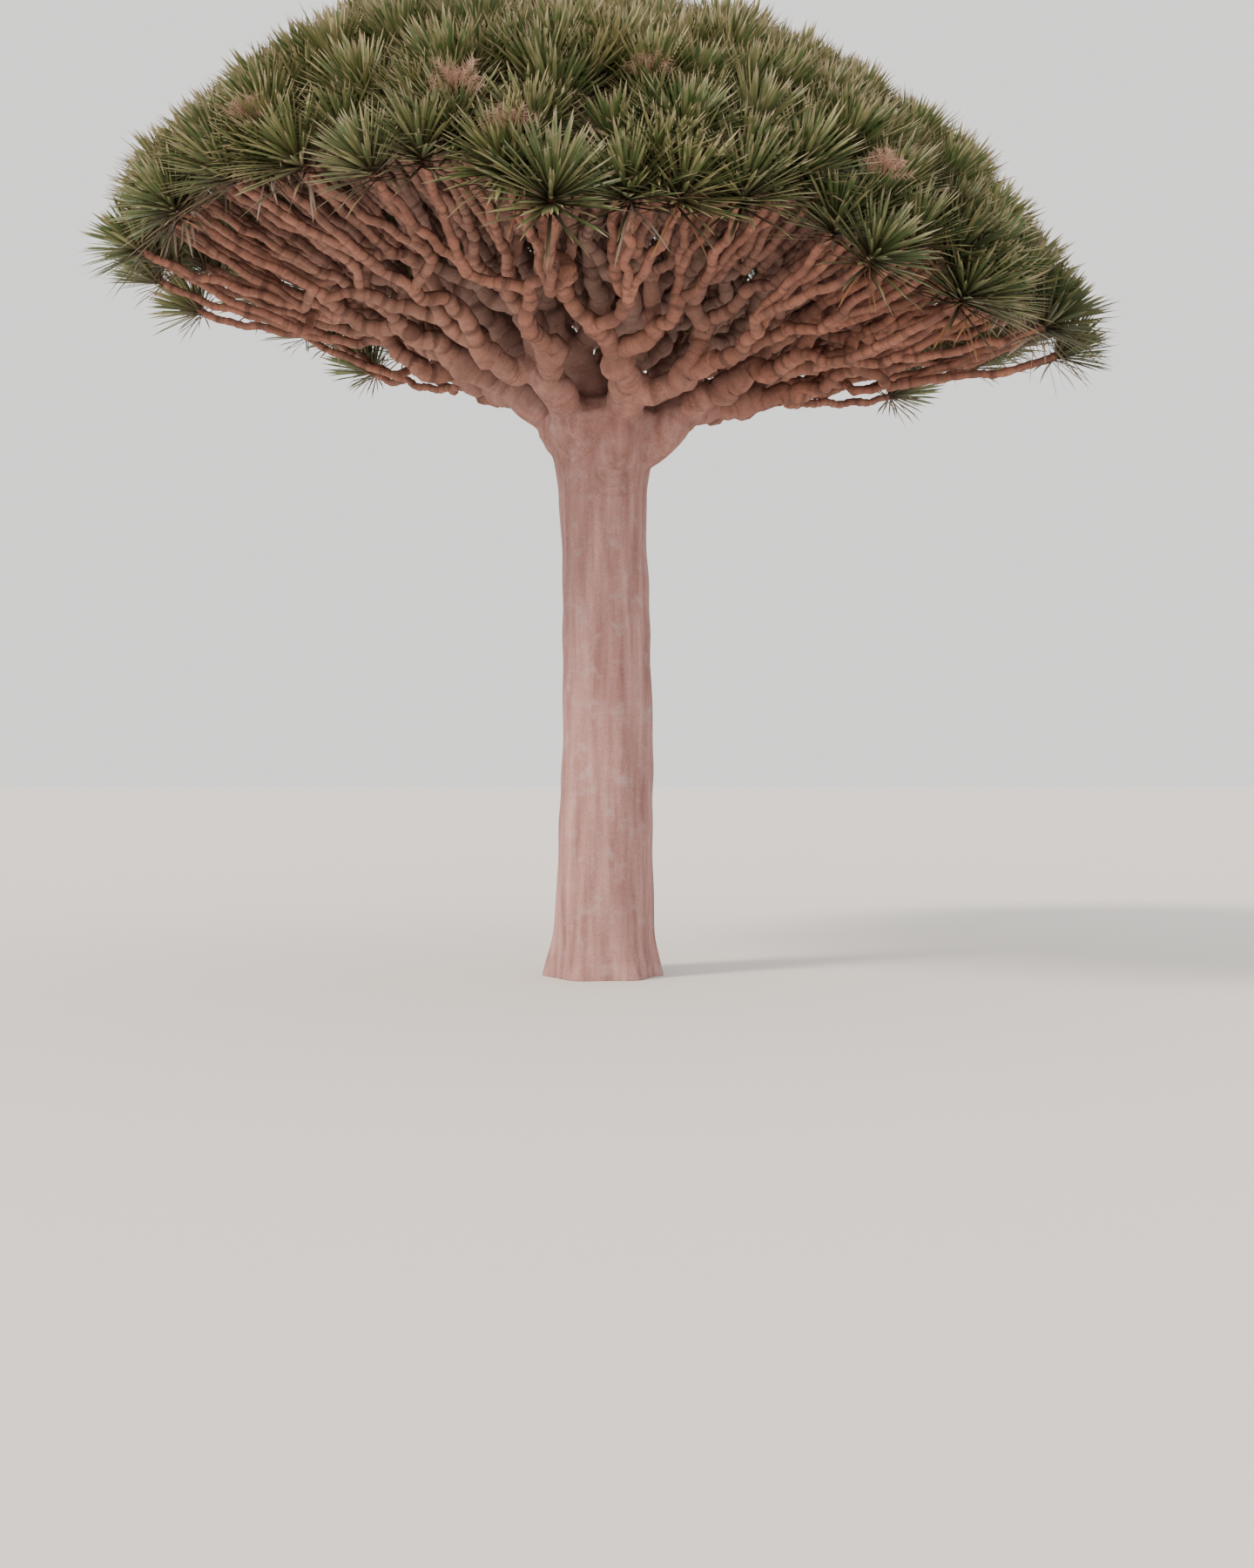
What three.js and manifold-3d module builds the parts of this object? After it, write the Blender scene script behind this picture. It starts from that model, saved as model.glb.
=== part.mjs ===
// A dragon blood tree: a stout bare trunk, boughs that fork again and again inside an inverted
// cone, and a dense dome of stiff sword leaves. Millimetres, +Z up. The origin is the middle of
// the flat cut at ground level, and -Y is the side that the tree was first seen from.
//
// One rule makes the whole crown. Growing points are spread over the dome, and every limb
// carries a group of them. A group is parted by planes through the throat, so each limb and each
// mass of foliage keeps to a pyramid of space of its own, and a limb ends part of the way from
// the throat to the middle of its group, where the next limbs fork.
import * as THREE from "three";
import { mergeVertices } from "three/addons/utils/BufferGeometryUtils.js";
import Module from "manifold-3d";

const wasm = await Module();
wasm.setup();

// Driving dimensions
const THROAT_HEIGHT = 3630;
const CROWN_RADIUS = 3050;
const RIM_HEIGHT = 4610;
const DOME_RISE = 1700;
const DOME_POWER = 1.5;
const CROWN_DROP = 0.09;
const CROWN_NOD = 0.015;
const CROWN_TWIST = 188;
const CROWN_SHIFT = new THREE.Vector2(-20, 50);
const LEAF_LENGTH = 510;
const TIP_RADIUS = 36;

// Trunk: radius and height up the shaft, then radius and height above the throat up its head
const SHAFT = [
  [372, 0],
  [350, 260],
  [332, 830],
  [312, 1860],
  [296, 2975],
  [304, 3380],
];
const FUNNEL = [
  [362, 70],
  [430, 240],
  [330, 340],
  [160, 410],
];
const HEAD_RISE = 430;
const TRUNK_SIDES = 20;
const SHAFT_ROWS = 9;
const FLARE_HEIGHT = 520;
const FLARE_LOBES = 6;
const LOBE_DEPTH = 55;
const LOBE_SHARPNESS = 1.6;
const LOBE_WANDER = 0.7;
const TRUNK_SWAY = 26;
const SWAY_FORWARD = 0.4;
const STUB_SHARE = 0.74;

// Growth
const SEED = 20417;
const GROWING_POINTS = 218;
const OUTER_BOUGHS = 6;
const INNER_BOUGHS = 2;
const OUTER_RISE = 39;
const INNER_RISE = 72;
const FIRST_OUTER_TURN = -68;
const FIRST_INNER_TURN = 40;
const TURN_JITTER = 5;
const RISE_JITTER = 2.5;
const POLAR_JITTER = 0.035;
const SWING_JITTER = 0.06;
const LEAST_SPIN = 0.35;
const DEEPEST = -60;
const HIGHEST = 30;
const FIRST_FORK = 0.25;
const SECOND_FORK = 0.36;
const STEM_SHARE = 0.03;
const INTERNODE = 0.5;
const LIMB_SAG = 165;
const LIMB_TILT = 25;
const SAG_POWER = 0.8;
const PIPE_POWER = 0.414;
const GOLDEN_ANGLE = Math.PI * (3 - Math.sqrt(5));

// Bend and taper of a limb
const BOUGH_ROOT_DEPTH = 240;
const LIMB_REACH = 0.3;
const ROOT_REACH = 0.42;
const FORK_LEAN = 0.25;
const END_LIFT = 0.15;
const ROOT_DIP = 0.35;
const END_PULL = 0.7;
const CHORD_PULL = 0.5;
const LIMB_TAPER = 0.12;
const STEM_GIRTH = 0.86;
const FORK_ASIDE = 0.35;

// Foliage of the solids: each blade stands for a spray of leaves
const TOP_BLADES = 1;
const RIM_BLADES = 2;
const RIM_SHARE = 0.85;
const RIM_SWING = 0.45;
const RIM_LEAN = 1.1;
const LEAN_POWER = 3.8;
const BLADE_TRIES = 14;
const BLADE_WIDTH = 150;
const BLADE_THICKNESS = 26;
const BLADE_SINK = 45;
const BLADE_SPREAD = 55;
const LEAST_OPEN = 8;
const MOST_OPEN = 54;
const RIM_LEAST_OPEN = 30;
const RIM_MOST_OPEN = 45;
const RIM_REACH = 1.16;
const POINTS_PER_TWIG = 2;
const PAD_ABOVE = 105;
const PAD_BELOW = 50;
const PAD_SEGMENTS = 18;
const PAD_RINGS = 5;

// Clearances
const JOINT_GAP = 0.3;
const LIMB_GAP = 0.6;
const PAD_GAP = 14;
const BLADE_MARGIN = 8;

// Sections of the limbs
const BOUGH_SIDES = 8;
const BOUGH_STEPS = 3;
const STEM_SIDES = 5;
const TWIG_SIDES = 3;
const TWIG_SWELL = 1.35;
const TWIG_ROOT = 0.45;
const RING_START = new THREE.Vector3(0.31, 0.87, 0.11);

const BARK = { color: 0x8c6a5a, roughness: 0.85, metalness: 0 };
const LIMB_BARK = { color: 0x96674f, roughness: 0.85, metalness: 0 };
const FOLIAGE = { color: 0x5c6b38, roughness: 0.6, metalness: 0 };

const THROAT = new THREE.Vector3(0, 0, THROAT_HEIGHT);
const UP = new THREE.Vector3(0, 0, 1);

// A small repeatable source of random numbers.
class Dice {
  constructor(seed) {
    this.state = seed >>> 0;
  }

  between(low, high) {
    this.state = (Math.imul(this.state, 1664525) + 1013904223) >>> 0;
    return low + ((high - low) * this.state) / 4294967296;
  }
}

// The dome that the growing points lie on, or one that stands out from it by an offset.
function domePoint(polar, turn, offset = 0) {
  const radius = CROWN_RADIUS + offset;
  const x = radius * Math.sin(polar) * Math.cos(turn);
  const y = radius * Math.sin(polar) * Math.sin(turn);
  const rise = (DOME_RISE + offset) * Math.max(0, Math.cos(polar)) ** DOME_POWER;
  const twist = (CROWN_TWIST * x * y) / CROWN_RADIUS ** 2;
  return new THREE.Vector3(
    x + CROWN_SHIFT.x,
    y + CROWN_SHIFT.y,
    RIM_HEIGHT + rise - CROWN_DROP * x + CROWN_NOD * y + twist,
  );
}

// The polar angles that part the dome into bands of equal area.
function evenPolarAngles(count) {
  const steps = 200;
  const angles = [0];
  const areas = [0];
  let before = new THREE.Vector2(0, DOME_RISE);
  for (let i = 1; i <= steps; i++) {
    const polar = (0.5 * Math.PI * i) / steps;
    const rise = DOME_RISE * Math.max(0, Math.cos(polar)) ** DOME_POWER;
    const here = new THREE.Vector2(CROWN_RADIUS * Math.sin(polar), rise);
    angles.push(polar);
    areas.push(areas[i - 1] + here.distanceTo(before) * (here.x + before.x));
    before = here;
  }
  const made = [];
  for (let i = 0, k = 0; i < count; i++) {
    const wanted = ((i + 0.5) / count) * areas[steps];
    while (areas[k + 1] < wanted) k++;
    const share = (wanted - areas[k]) / (areas[k + 1] - areas[k]);
    made.push(angles[k] + (angles[k + 1] - angles[k]) * share);
  }
  return made;
}

// Growing points in a sunflower spiral, each nudged a little.
function growingPoints() {
  const dice = new Dice(SEED);
  return evenPolarAngles(GROWING_POINTS).map((even, i) => {
    const nudged = even + dice.between(-POLAR_JITTER, POLAR_JITTER);
    const polar = Math.min(Math.max(nudged, 0), Math.PI / 2);
    const nudge = dice.between(-SWING_JITTER, SWING_JITTER);
    const turn = i * GOLDEN_ANGLE + nudge / Math.max(LEAST_SPIN, Math.sin(polar));
    const at = domePoint(polar, turn, dice.between(DEEPEST, HIGHEST));
    return { at, way: at.clone().sub(THROAT).normalize() };
  });
}

function middleOf(points) {
  const sum = new THREE.Vector3();
  points.forEach((point) => sum.add(point.at));
  return sum.divideScalar(points.length);
}

function meanWay(points) {
  const sum = new THREE.Vector3();
  points.forEach((point) => sum.add(point.way));
  return sum.normalize();
}

function squareTo(vector, way) {
  return vector.clone().addScaledVector(way, -vector.dot(way)).normalize();
}

// The direction in which a group is widest, as seen from the throat.
function widestAcross(points, way) {
  const furthestFrom = (place) =>
    points.reduce((best, point) =>
      point.way.distanceTo(place) > best.way.distanceTo(place) ? point : best,
    );
  const one = furthestFrom(way);
  const other = furthestFrom(one.way);
  return squareTo(other.way.clone().sub(one.way), way);
}

// Parts a group in two by a plane through the throat, with a share of it on the low side.
function partGroup(group, share, across) {
  const way = meanWay(group.points);
  const normal = across ? squareTo(across, way) : widestAcross(group.points, way);
  const place = (point) => point.way.dot(normal) / point.way.dot(way);
  const sorted = [...group.points].sort((a, b) => place(a) - place(b));
  const count = sorted.length;
  const cut = Math.max(1, Math.min(count - 1, Math.round(count * share)));
  const border = 0.5 * (place(sorted[cut - 1]) + place(sorted[cut]));
  const plane = normal.clone().addScaledVector(way, -border).normalize();
  return [
    { points: sorted.slice(0, cut), planes: [...group.planes, plane.clone().negate()] },
    { points: sorted.slice(cut), planes: [...group.planes, plane] },
  ];
}

function wayOf(turn, rise) {
  const t = THREE.MathUtils.degToRad(turn);
  const r = THREE.MathUtils.degToRad(rise);
  return new THREE.Vector3(
    Math.cos(r) * Math.cos(t),
    Math.cos(r) * Math.sin(t),
    Math.sin(r),
  );
}

// The first groups: each growing point goes with the main bough whose direction is nearest.
function mainGroups(points) {
  const dice = new Dice(SEED + 1);
  const ways = [];
  for (let i = 0; i < OUTER_BOUGHS; i++) {
    const turn = FIRST_OUTER_TURN + (360 / OUTER_BOUGHS) * i;
    const nudge = dice.between(-TURN_JITTER, TURN_JITTER);
    ways.push(wayOf(turn + nudge, OUTER_RISE + dice.between(-RISE_JITTER, RISE_JITTER)));
  }
  for (let i = 0; i < INNER_BOUGHS; i++) {
    const turn = FIRST_INNER_TURN + (360 / INNER_BOUGHS) * i;
    ways.push(wayOf(turn + dice.between(-TURN_JITTER, TURN_JITTER), INNER_RISE));
  }
  const nearest = (point) =>
    ways.reduce((best, way) => (point.way.dot(way) > point.way.dot(best) ? way : best));
  return ways.map((way, i) => ({
    outer: i < OUTER_BOUGHS,
    points: points.filter((point) => nearest(point) === way),
    planes: ways
      .filter((other) => other !== way)
      .map((other) => way.clone().sub(other).normalize()),
  }));
}

// An outer group has two parts at the rim and one above them. An inner one has three alike.
function partMainGroup(group) {
  const way = meanWay(group.points);
  if (group.outer) {
    const [low, high] = partGroup(group, 2 / 3, UP);
    const sideways = new THREE.Vector3().crossVectors(UP, way);
    return [...partGroup(low, 1 / 2, sideways), high];
  }
  const [one, rest] = partGroup(group, 1 / 3);
  return [one, ...partGroup(rest, 1 / 2)];
}

function limbRadius(points) {
  return TIP_RADIUS * points.length ** PIPE_POWER;
}

// A limb's middle line: it leaves with a lean to its parent's direction, and ends along its own.
function limbCurve(start, startWay, end, endWay, firstReach) {
  const along = end.clone().sub(start);
  const length = along.length();
  along.normalize();
  const leave = along.clone().addScaledVector(startWay, FORK_LEAN).normalize();
  const pull = along.clone().multiplyScalar(CHORD_PULL);
  const arrive = pull.addScaledVector(endWay, END_PULL).normalize();
  return new THREE.CubicBezierCurve3(
    start,
    start.clone().addScaledVector(leave, length * firstReach),
    end.clone().addScaledVector(arrive, -length * LIMB_REACH),
    end,
  );
}

// Where a group's limb forks: part of the way from the throat to the middle of the group, and
// under that line by a sag, greatest for limbs between level and upright and on the +X side.
function forkPoint(group, share) {
  const way = meanWay(group.points);
  const most = LIMB_SAG * way.z * (1 - way.z) + LIMB_TILT * way.x;
  const sag = most * Math.sin(Math.PI * share ** SAG_POWER);
  return THROAT.clone().lerp(middleOf(group.points), share).addScaledVector(UP, -sag);
}

function limbTo(share, group, start, startWay, lift = END_LIFT, firstReach = LIMB_REACH) {
  const end = forkPoint(group, share);
  const endWay = meanWay(group.points).addScaledVector(UP, lift).normalize();
  const curve = limbCurve(start, startWay, end, endWay, firstReach);
  return { group, share, radius: limbRadius(group.points), end, endWay, curve };
}

// The paths of a mass's twigs, as lists of places with a radius. A path runs on through each
// fork by the part that bends it less, and the other part starts a path of its own there.
function twigPaths(bough) {
  const paths = [];
  const runOn = (path, node) => {
    path.push(node);
    const { group, share } = node;
    if (group.points.length <= POINTS_PER_TWIG) return;
    const before = path[path.length - 2].at;
    const way = node.at.clone().sub(before).normalize();
    const next = partGroup(group, 1 / 2).map((part) => {
      const last = part.points.length <= POINTS_PER_TWIG;
      const step = (INTERNODE * (1 - share)) / (1 + Math.log2(part.points.length));
      const reach = last ? 1 : share + step;
      const at = forkPoint(part, reach);
      const bend = way.angleTo(at.clone().sub(node.at));
      return { group: part, share: reach, at, radius: limbRadius(part.points), bend };
    });
    next.sort((a, b) => a.bend - b.bend);
    runOn(path, next[0]);
    const side = [{ at: node.at, radius: node.radius * TWIG_ROOT }];
    paths.push(side);
    runOn(side, next[1]);
  };
  const stem = [{ at: bough.end, radius: bough.radius * (1 - LIMB_TAPER) }];
  paths.push(stem);
  const share = bough.share + STEM_SHARE;
  const { group } = bough;
  runOn(stem, { group, share, at: forkPoint(group, share), radius: bough.radius * STEM_GIRTH });
  return paths;
}

// A closed mesh as a solid that can be joined and cut.
function solidOf(geometry) {
  const bare = geometry.clone();
  bare.deleteAttribute("normal");
  bare.deleteAttribute("uv");
  const merged = mergeVertices(bare, 1e-3);
  return new wasm.Manifold(
    new wasm.Mesh({
      numProp: 3,
      vertProperties: merged.attributes.position.array,
      triVerts: new Uint32Array(merged.index.array),
    }),
  );
}

function geometryOf(solid) {
  const made = solid.getMesh();
  const geometry = new THREE.BufferGeometry();
  const places = new Float32Array(made.numVert * 3);
  for (let i = 0; i < made.numVert; i++) {
    const from = i * made.numProp;
    places.set(made.vertProperties.subarray(from, from + 3), i * 3);
  }
  geometry.setAttribute("position", new THREE.BufferAttribute(places, 3));
  geometry.setIndex(new THREE.BufferAttribute(new Uint32Array(made.triVerts), 1));
  return geometry;
}

// Moves every vertex of a geometry to where a function puts it.
function reshape(geometry, place) {
  const position = geometry.attributes.position;
  const vertex = new THREE.Vector3();
  for (let i = 0; i < position.count; i++) {
    vertex.fromBufferAttribute(position, i);
    const moved = place(vertex);
    position.setXYZ(i, moved.x, moved.y, moved.z);
  }
  return geometry;
}

function polygon(sides) {
  const corner = (i) => {
    const turn = (2 * Math.PI * i) / sides;
    return new THREE.Vector2(Math.cos(turn), Math.sin(turn));
  };
  return new THREE.Shape(Array.from({ length: sides }, (_, i) => corner(i)));
}

// A tapering limb: a prism bent along a curve, with a ring at each station of share and radius.
function limbSolid(curve, stations, sides) {
  const steps = stations.length - 1;
  const prism = new THREE.ExtrudeGeometry(polygon(sides), {
    depth: 1,
    steps,
    bevelEnabled: false,
  });
  return solidOf(
    reshape(prism, (vertex) => {
      const { share, radius } = stations[Math.round(vertex.z * steps)];
      const way = curve.getTangent(share);
      const right = squareTo(RING_START, way);
      const front = new THREE.Vector3().crossVectors(way, right);
      return curve
        .getPoint(share)
        .addScaledVector(right, vertex.x * radius)
        .addScaledVector(front, vertex.y * radius);
    }),
  );
}

// A stretch of a bough between two shares of its middle line, slimmer towards its tip.
function boughSolid(bough, from, to, grown = 0) {
  const stations = Array.from({ length: BOUGH_STEPS + 1 }, (_, i) => {
    const share = from + ((to - from) * i) / BOUGH_STEPS;
    return { share, radius: bough.radius * (1 + LIMB_TAPER * (1 - 2 * share)) + grown };
  });
  return limbSolid(bough.curve, stations, BOUGH_SIDES);
}

// A path of twigs, with a ring at each fork.
function twigSolid(path, sides) {
  const swell = sides === TWIG_SIDES ? TWIG_SWELL : 1;
  const curve = new THREE.CatmullRomCurve3(path.map((node) => node.at), false, "centripetal");
  const stations = path.map((node, i) => ({
    share: i / (path.length - 1),
    radius: node.radius * swell,
  }));
  return limbSolid(curve, stations, sides);
}

// Keeps a solid inside its group's own space, a gap clear of every border.
function keptInside(solid, group, gap) {
  return group.planes.reduce(
    (kept, plane) => kept.trimByPlane(plane.toArray(), plane.dot(THROAT) + gap),
    solid,
  );
}

// Cuts off what lies behind the flat end of a parent limb.
function beyondEnd(solid, limb) {
  const way = limb.curve.getTangent(1);
  return solid.trimByPlane(way.toArray(), way.dot(limb.end) + JOINT_GAP);
}

function largestPiece(solid) {
  return solid.decompose().reduce((a, b) => (a.volume() > b.volume() ? a : b));
}

// The trunk's outline from the ground to its head inside the fork, as radius and height.
function trunkProfile(grown) {
  const bends = SHAFT.map(([radius, height]) => new THREE.Vector2(radius + grown, height));
  const head = FUNNEL.map(
    ([radius, above]) => new THREE.Vector2(radius + grown, THROAT_HEIGHT + above),
  );
  const top = new THREE.Vector2(0, THROAT_HEIGHT + HEAD_RISE + grown);
  const shaft = new THREE.SplineCurve(bends).getPoints(SHAFT_ROWS);
  return [new THREE.Vector2(0, 0), ...shaft, ...head, top];
}

// The root flare's lobes, deepest at the ground.
function lobeReach(turn, height) {
  const fade = Math.max(0, 1 - height / FLARE_HEIGHT) ** 2;
  const wave = 0.5 + 0.5 * Math.cos(FLARE_LOBES * turn + LOBE_WANDER * Math.sin(turn));
  return LOBE_DEPTH * fade * wave ** LOBE_SHARPNESS;
}

// The slight sway of the trunk, none at the ground and none at the throat.
function swayAt(height) {
  const share = Math.min(1, height / THROAT_HEIGHT);
  return TRUNK_SWAY * Math.sin(Math.PI * share) ** 2;
}

function trunkShaft(grown) {
  const lathe = new THREE.LatheGeometry(trunkProfile(grown), TRUNK_SIDES).rotateX(Math.PI / 2);
  return solidOf(
    reshape(lathe, (vertex) => {
      const radius = Math.hypot(vertex.x, vertex.y);
      const turn = Math.atan2(vertex.y, vertex.x);
      const wider = radius > 1 ? 1 + lobeReach(turn, vertex.z) / radius : 1;
      const sway = swayAt(vertex.z);
      return new THREE.Vector3(
        vertex.x * wider + sway,
        vertex.y * wider - SWAY_FORWARD * sway,
        vertex.z,
      );
    }),
  );
}

// The shell of foliage under the dome's surface, before it is parted among the masses.
function padShell() {
  const profile = [];
  for (let i = 0; i <= PAD_RINGS; i++) {
    profile.push({ polar: (0.5 * Math.PI * i) / PAD_RINGS, offset: -PAD_BELOW });
  }
  for (let i = PAD_RINGS; i >= 0; i--) {
    profile.push({ polar: (0.5 * Math.PI * i) / PAD_RINGS, offset: PAD_ABOVE });
  }
  const onAxis = (i) => i === 0 || i === profile.length - 1;
  const outline = profile.map((_, i) => new THREE.Vector2(onAxis(i) ? 0 : 1, i));
  const lathe = new THREE.LatheGeometry(outline, PAD_SEGMENTS).rotateX(Math.PI / 2);
  return solidOf(
    reshape(lathe, (vertex) => {
      const { polar, offset } = profile[Math.round(vertex.z)];
      return domePoint(polar, Math.atan2(vertex.y, vertex.x), offset);
    }),
  );
}

// One stiff blade, by the axes of a flat four-sided pyramid that tapers from its root.
function bladeCorners(root, way, out, length) {
  const flat = squareTo(out, way);
  const edge = new THREE.Vector3().crossVectors(way, flat);
  return {
    root,
    stalk: way.clone().multiplyScalar(length),
    edge: edge.multiplyScalar(BLADE_WIDTH / 2),
    flat: flat.multiplyScalar(BLADE_THICKNESS / 2),
  };
}

function bladeSolid(blade) {
  return solidOf(
    reshape(new THREE.ConeGeometry(1, 1, 4, 1), (vertex) =>
      blade.root
        .clone()
        .addScaledVector(blade.stalk, vertex.y + 0.5)
        .addScaledVector(blade.edge, vertex.x)
        .addScaledVector(blade.flat, vertex.z),
    ),
  );
}

function isInside(place, group, margin) {
  return group.planes.every(
    (plane) => plane.dot(place) - plane.dot(THROAT) > margin,
  );
}

// The way that a rosette faces: upright over most of the dome, and leaning out at its rim.
function rosetteWay(place) {
  const out = new THREE.Vector3(place.x - CROWN_SHIFT.x, place.y - CROWN_SHIFT.y, 0);
  const lean = RIM_LEAN * (out.length() / CROWN_RADIUS) ** LEAN_POWER;
  return out.setLength(lean).add(UP).normalize();
}

// The blades of one growing point. At the rim the first of them points outwards. One that would
// leave the mass's space is turned, and a blade that finds no place in several turns is left out.
function bladesAt(place, group, dice) {
  const way = rosetteWay(place);
  const out = new THREE.Vector3(place.x, place.y, 0).divideScalar(CROWN_RADIUS);
  const right = squareTo(out, way);
  const front = new THREE.Vector3().crossVectors(way, right);
  const atRim = out.length() > RIM_SHARE;
  const count = atRim ? RIM_BLADES : TOP_BLADES;
  const swing = atRim ? RIM_SWING : Math.PI;
  const blades = [];
  for (let i = 0; i < count; i++) {
    for (let tries = 0; tries < BLADE_TRIES; tries++) {
      const turn = (i / count) * 2 * Math.PI + dice.between(-swing, swing) * (1 + tries);
      const across = right
        .clone()
        .multiplyScalar(Math.cos(turn))
        .addScaledVector(front, Math.sin(turn));
      const outwards = atRim && i === 0;
      const least = outwards ? RIM_LEAST_OPEN : LEAST_OPEN;
      const most = outwards ? RIM_MOST_OPEN : MOST_OPEN;
      const open = THREE.MathUtils.degToRad(dice.between(least, most));
      const along = way
        .clone()
        .multiplyScalar(Math.cos(open))
        .addScaledVector(across, Math.sin(open));
      const root = place
        .clone()
        .addScaledVector(way, -BLADE_SINK)
        .addScaledVector(across, BLADE_SPREAD);
      const length = outwards ? LEAF_LENGTH * RIM_REACH : LEAF_LENGTH;
      const blade = bladeCorners(root, along, way, length);
      const corners = [
        root.clone().add(blade.stalk),
        root.clone().add(blade.edge),
        root.clone().sub(blade.edge),
      ];
      if (corners.every((corner) => isInside(corner, group, BLADE_MARGIN))) {
        blades.push(bladeSolid(blade));
        break;
      }
    }
  }
  return blades;
}

// A mass of foliage: a stem, its forking twigs, a pad and the blades that stand out of it.
function massSolid(bough, shell, dice) {
  const { group } = bough;
  const paths = twigPaths(bough);
  const wood = paths.map((path, i) => twigSolid(path, i === 0 ? STEM_SIDES : TWIG_SIDES));
  const trimmed = beyondEnd(keptInside(wasm.Manifold.union(wood), group, LIMB_GAP), bough);
  const blades = group.points.flatMap((point) => bladesAt(point.at, group, dice));
  const pad = keptInside(shell, group, PAD_GAP);
  return largestPiece(wasm.Manifold.union([trimmed, pad, ...blades]));
}

function meshOf(name, solid, look) {
  const material = new THREE.MeshStandardMaterial(look);
  const mesh = new THREE.Mesh(geometryOf(solid), material);
  mesh.name = name;
  return mesh;
}

// The main bough's line starts inside the trunk's head, and its stub is part of the trunk.
function mainBough(group) {
  const start = THROAT.clone().addScaledVector(UP, -BOUGH_ROOT_DEPTH);
  return limbTo(FIRST_FORK, group, start, UP, -ROOT_DIP, ROOT_REACH);
}

// An outer bough's line starts to the side of its parent's, where the fork opens.
function secondBough(parent, group) {
  const end = forkPoint(group, SECOND_FORK);
  const aside = squareTo(end.clone().sub(parent.end), parent.endWay);
  const start = parent.end.clone().addScaledVector(aside, parent.radius * FORK_ASIDE);
  return limbTo(SECOND_FORK, group, start, parent.endWay);
}

// The trunk with the stubs of the main boughs, grown all round by a little where it is a cutter.
function trunkSolid(mains, grown = 0) {
  const stubs = mains.map((bough) => {
    const to = STUB_SHARE + grown / bough.curve.getLength();
    return boughSolid(bough, 0, to, grown);
  });
  return wasm.Manifold.union([trunkShaft(grown), ...stubs]);
}

function tree() {
  const made = new THREE.Group();
  const dice = new Dice(SEED + 2);
  const shell = padShell();
  const mains = mainGroups(growingPoints()).map(mainBough);
  const cutter = trunkSolid(mains, JOINT_GAP);
  made.add(meshOf("trunk", trunkSolid(mains), BARK));

  mains.forEach((bough, i) => {
    const limb = keptInside(boughSolid(bough, STUB_SHARE, 1), bough.group, LIMB_GAP);
    const free = largestPiece(limb.subtract(cutter));
    made.add(meshOf(`main_bough_${i + 1}`, free, LIMB_BARK));
    partMainGroup(bough.group).forEach((group, k) => {
      const mark = `${i + 1}${"abc"[k]}`;
      const outer = secondBough(bough, group);
      const kept = beyondEnd(keptInside(boughSolid(outer, 0, 1), group, LIMB_GAP), bough);
      made.add(meshOf(`bough_${mark}`, largestPiece(kept), LIMB_BARK));
      made.add(meshOf(`foliage_${mark}`, massSolid(outer, shell, dice), FOLIAGE));
    });
  });
  return made;
}

export default tree();
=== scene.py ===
"""A dragon blood tree, dressed: relief bark, forking twigs, rosettes of sword leaves.

The solids of the frame give the trunk, the boughs and the space of each mass of foliage. This
script grows the same limbs again by the same seeded rule, carries them on to one growing point
each, and gives every growing point its rosette of leaves.
"""
import logging
import math
from dataclasses import dataclass, field
from enum import Enum
from typing import Any

import bmesh
import bpy
import numpy as np
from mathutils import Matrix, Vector, kdtree


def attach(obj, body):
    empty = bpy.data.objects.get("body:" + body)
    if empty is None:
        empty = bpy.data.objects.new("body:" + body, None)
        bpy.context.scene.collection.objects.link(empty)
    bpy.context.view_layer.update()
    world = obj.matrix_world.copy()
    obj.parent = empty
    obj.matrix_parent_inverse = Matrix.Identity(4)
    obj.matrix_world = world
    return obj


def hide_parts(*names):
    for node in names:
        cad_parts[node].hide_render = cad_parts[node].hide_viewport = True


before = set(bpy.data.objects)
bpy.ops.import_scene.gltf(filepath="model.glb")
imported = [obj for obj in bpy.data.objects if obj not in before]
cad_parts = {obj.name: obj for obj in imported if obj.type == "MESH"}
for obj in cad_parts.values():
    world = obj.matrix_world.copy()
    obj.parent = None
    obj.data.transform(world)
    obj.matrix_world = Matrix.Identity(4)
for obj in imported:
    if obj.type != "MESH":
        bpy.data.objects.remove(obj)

LOG = logging.getLogger("dragon_blood_tree")
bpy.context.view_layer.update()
GOLDEN_ANGLE = math.pi * (3 - math.sqrt(5))
UP = np.array([0.0, 0.0, 1.0])
RING_START = np.array([0.31, 0.87, 0.11])

# Rows of a tube's round end: share of its radius, and distance beyond the end as a share of it
ROUND_END = ((0.87, 0.5), (0.5, 0.87))

# Rows of a leaf below its tip: share of its length, and share of its full width
LIVING_ROWS = ((0.0, 0.75), (0.74, 1.0))
DRY_ROWS = ((0.0, 0.8), (0.5, 1.0), (0.8, 0.7))

Array = np.ndarray


def linear(hex_colour: str) -> tuple[float, float, float, float]:
    """Turn an sRGB hex colour into the linear colour that a shader takes.

    Args:
        hex_colour: Six hex digits with a leading hash.

    Returns:
        Red, green, blue and a full fourth channel.
    """
    values = [int(hex_colour[i : i + 2], 16) / 255 for i in (1, 3, 5)]
    made = [v / 12.92 if v <= 0.04045 else ((v + 0.055) / 1.055) ** 2.4 for v in values]
    return (made[0], made[1], made[2], 1.0)


def unit(vector: Array) -> Array:
    """Scale a vector to length one."""
    return vector / max(float(np.linalg.norm(vector)), 1e-9)


def square_to(vector: Array, way: Array) -> Array:
    """Take from a vector what lies along a way, and scale the rest to length one."""
    return unit(vector - way * float(vector @ way))


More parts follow.
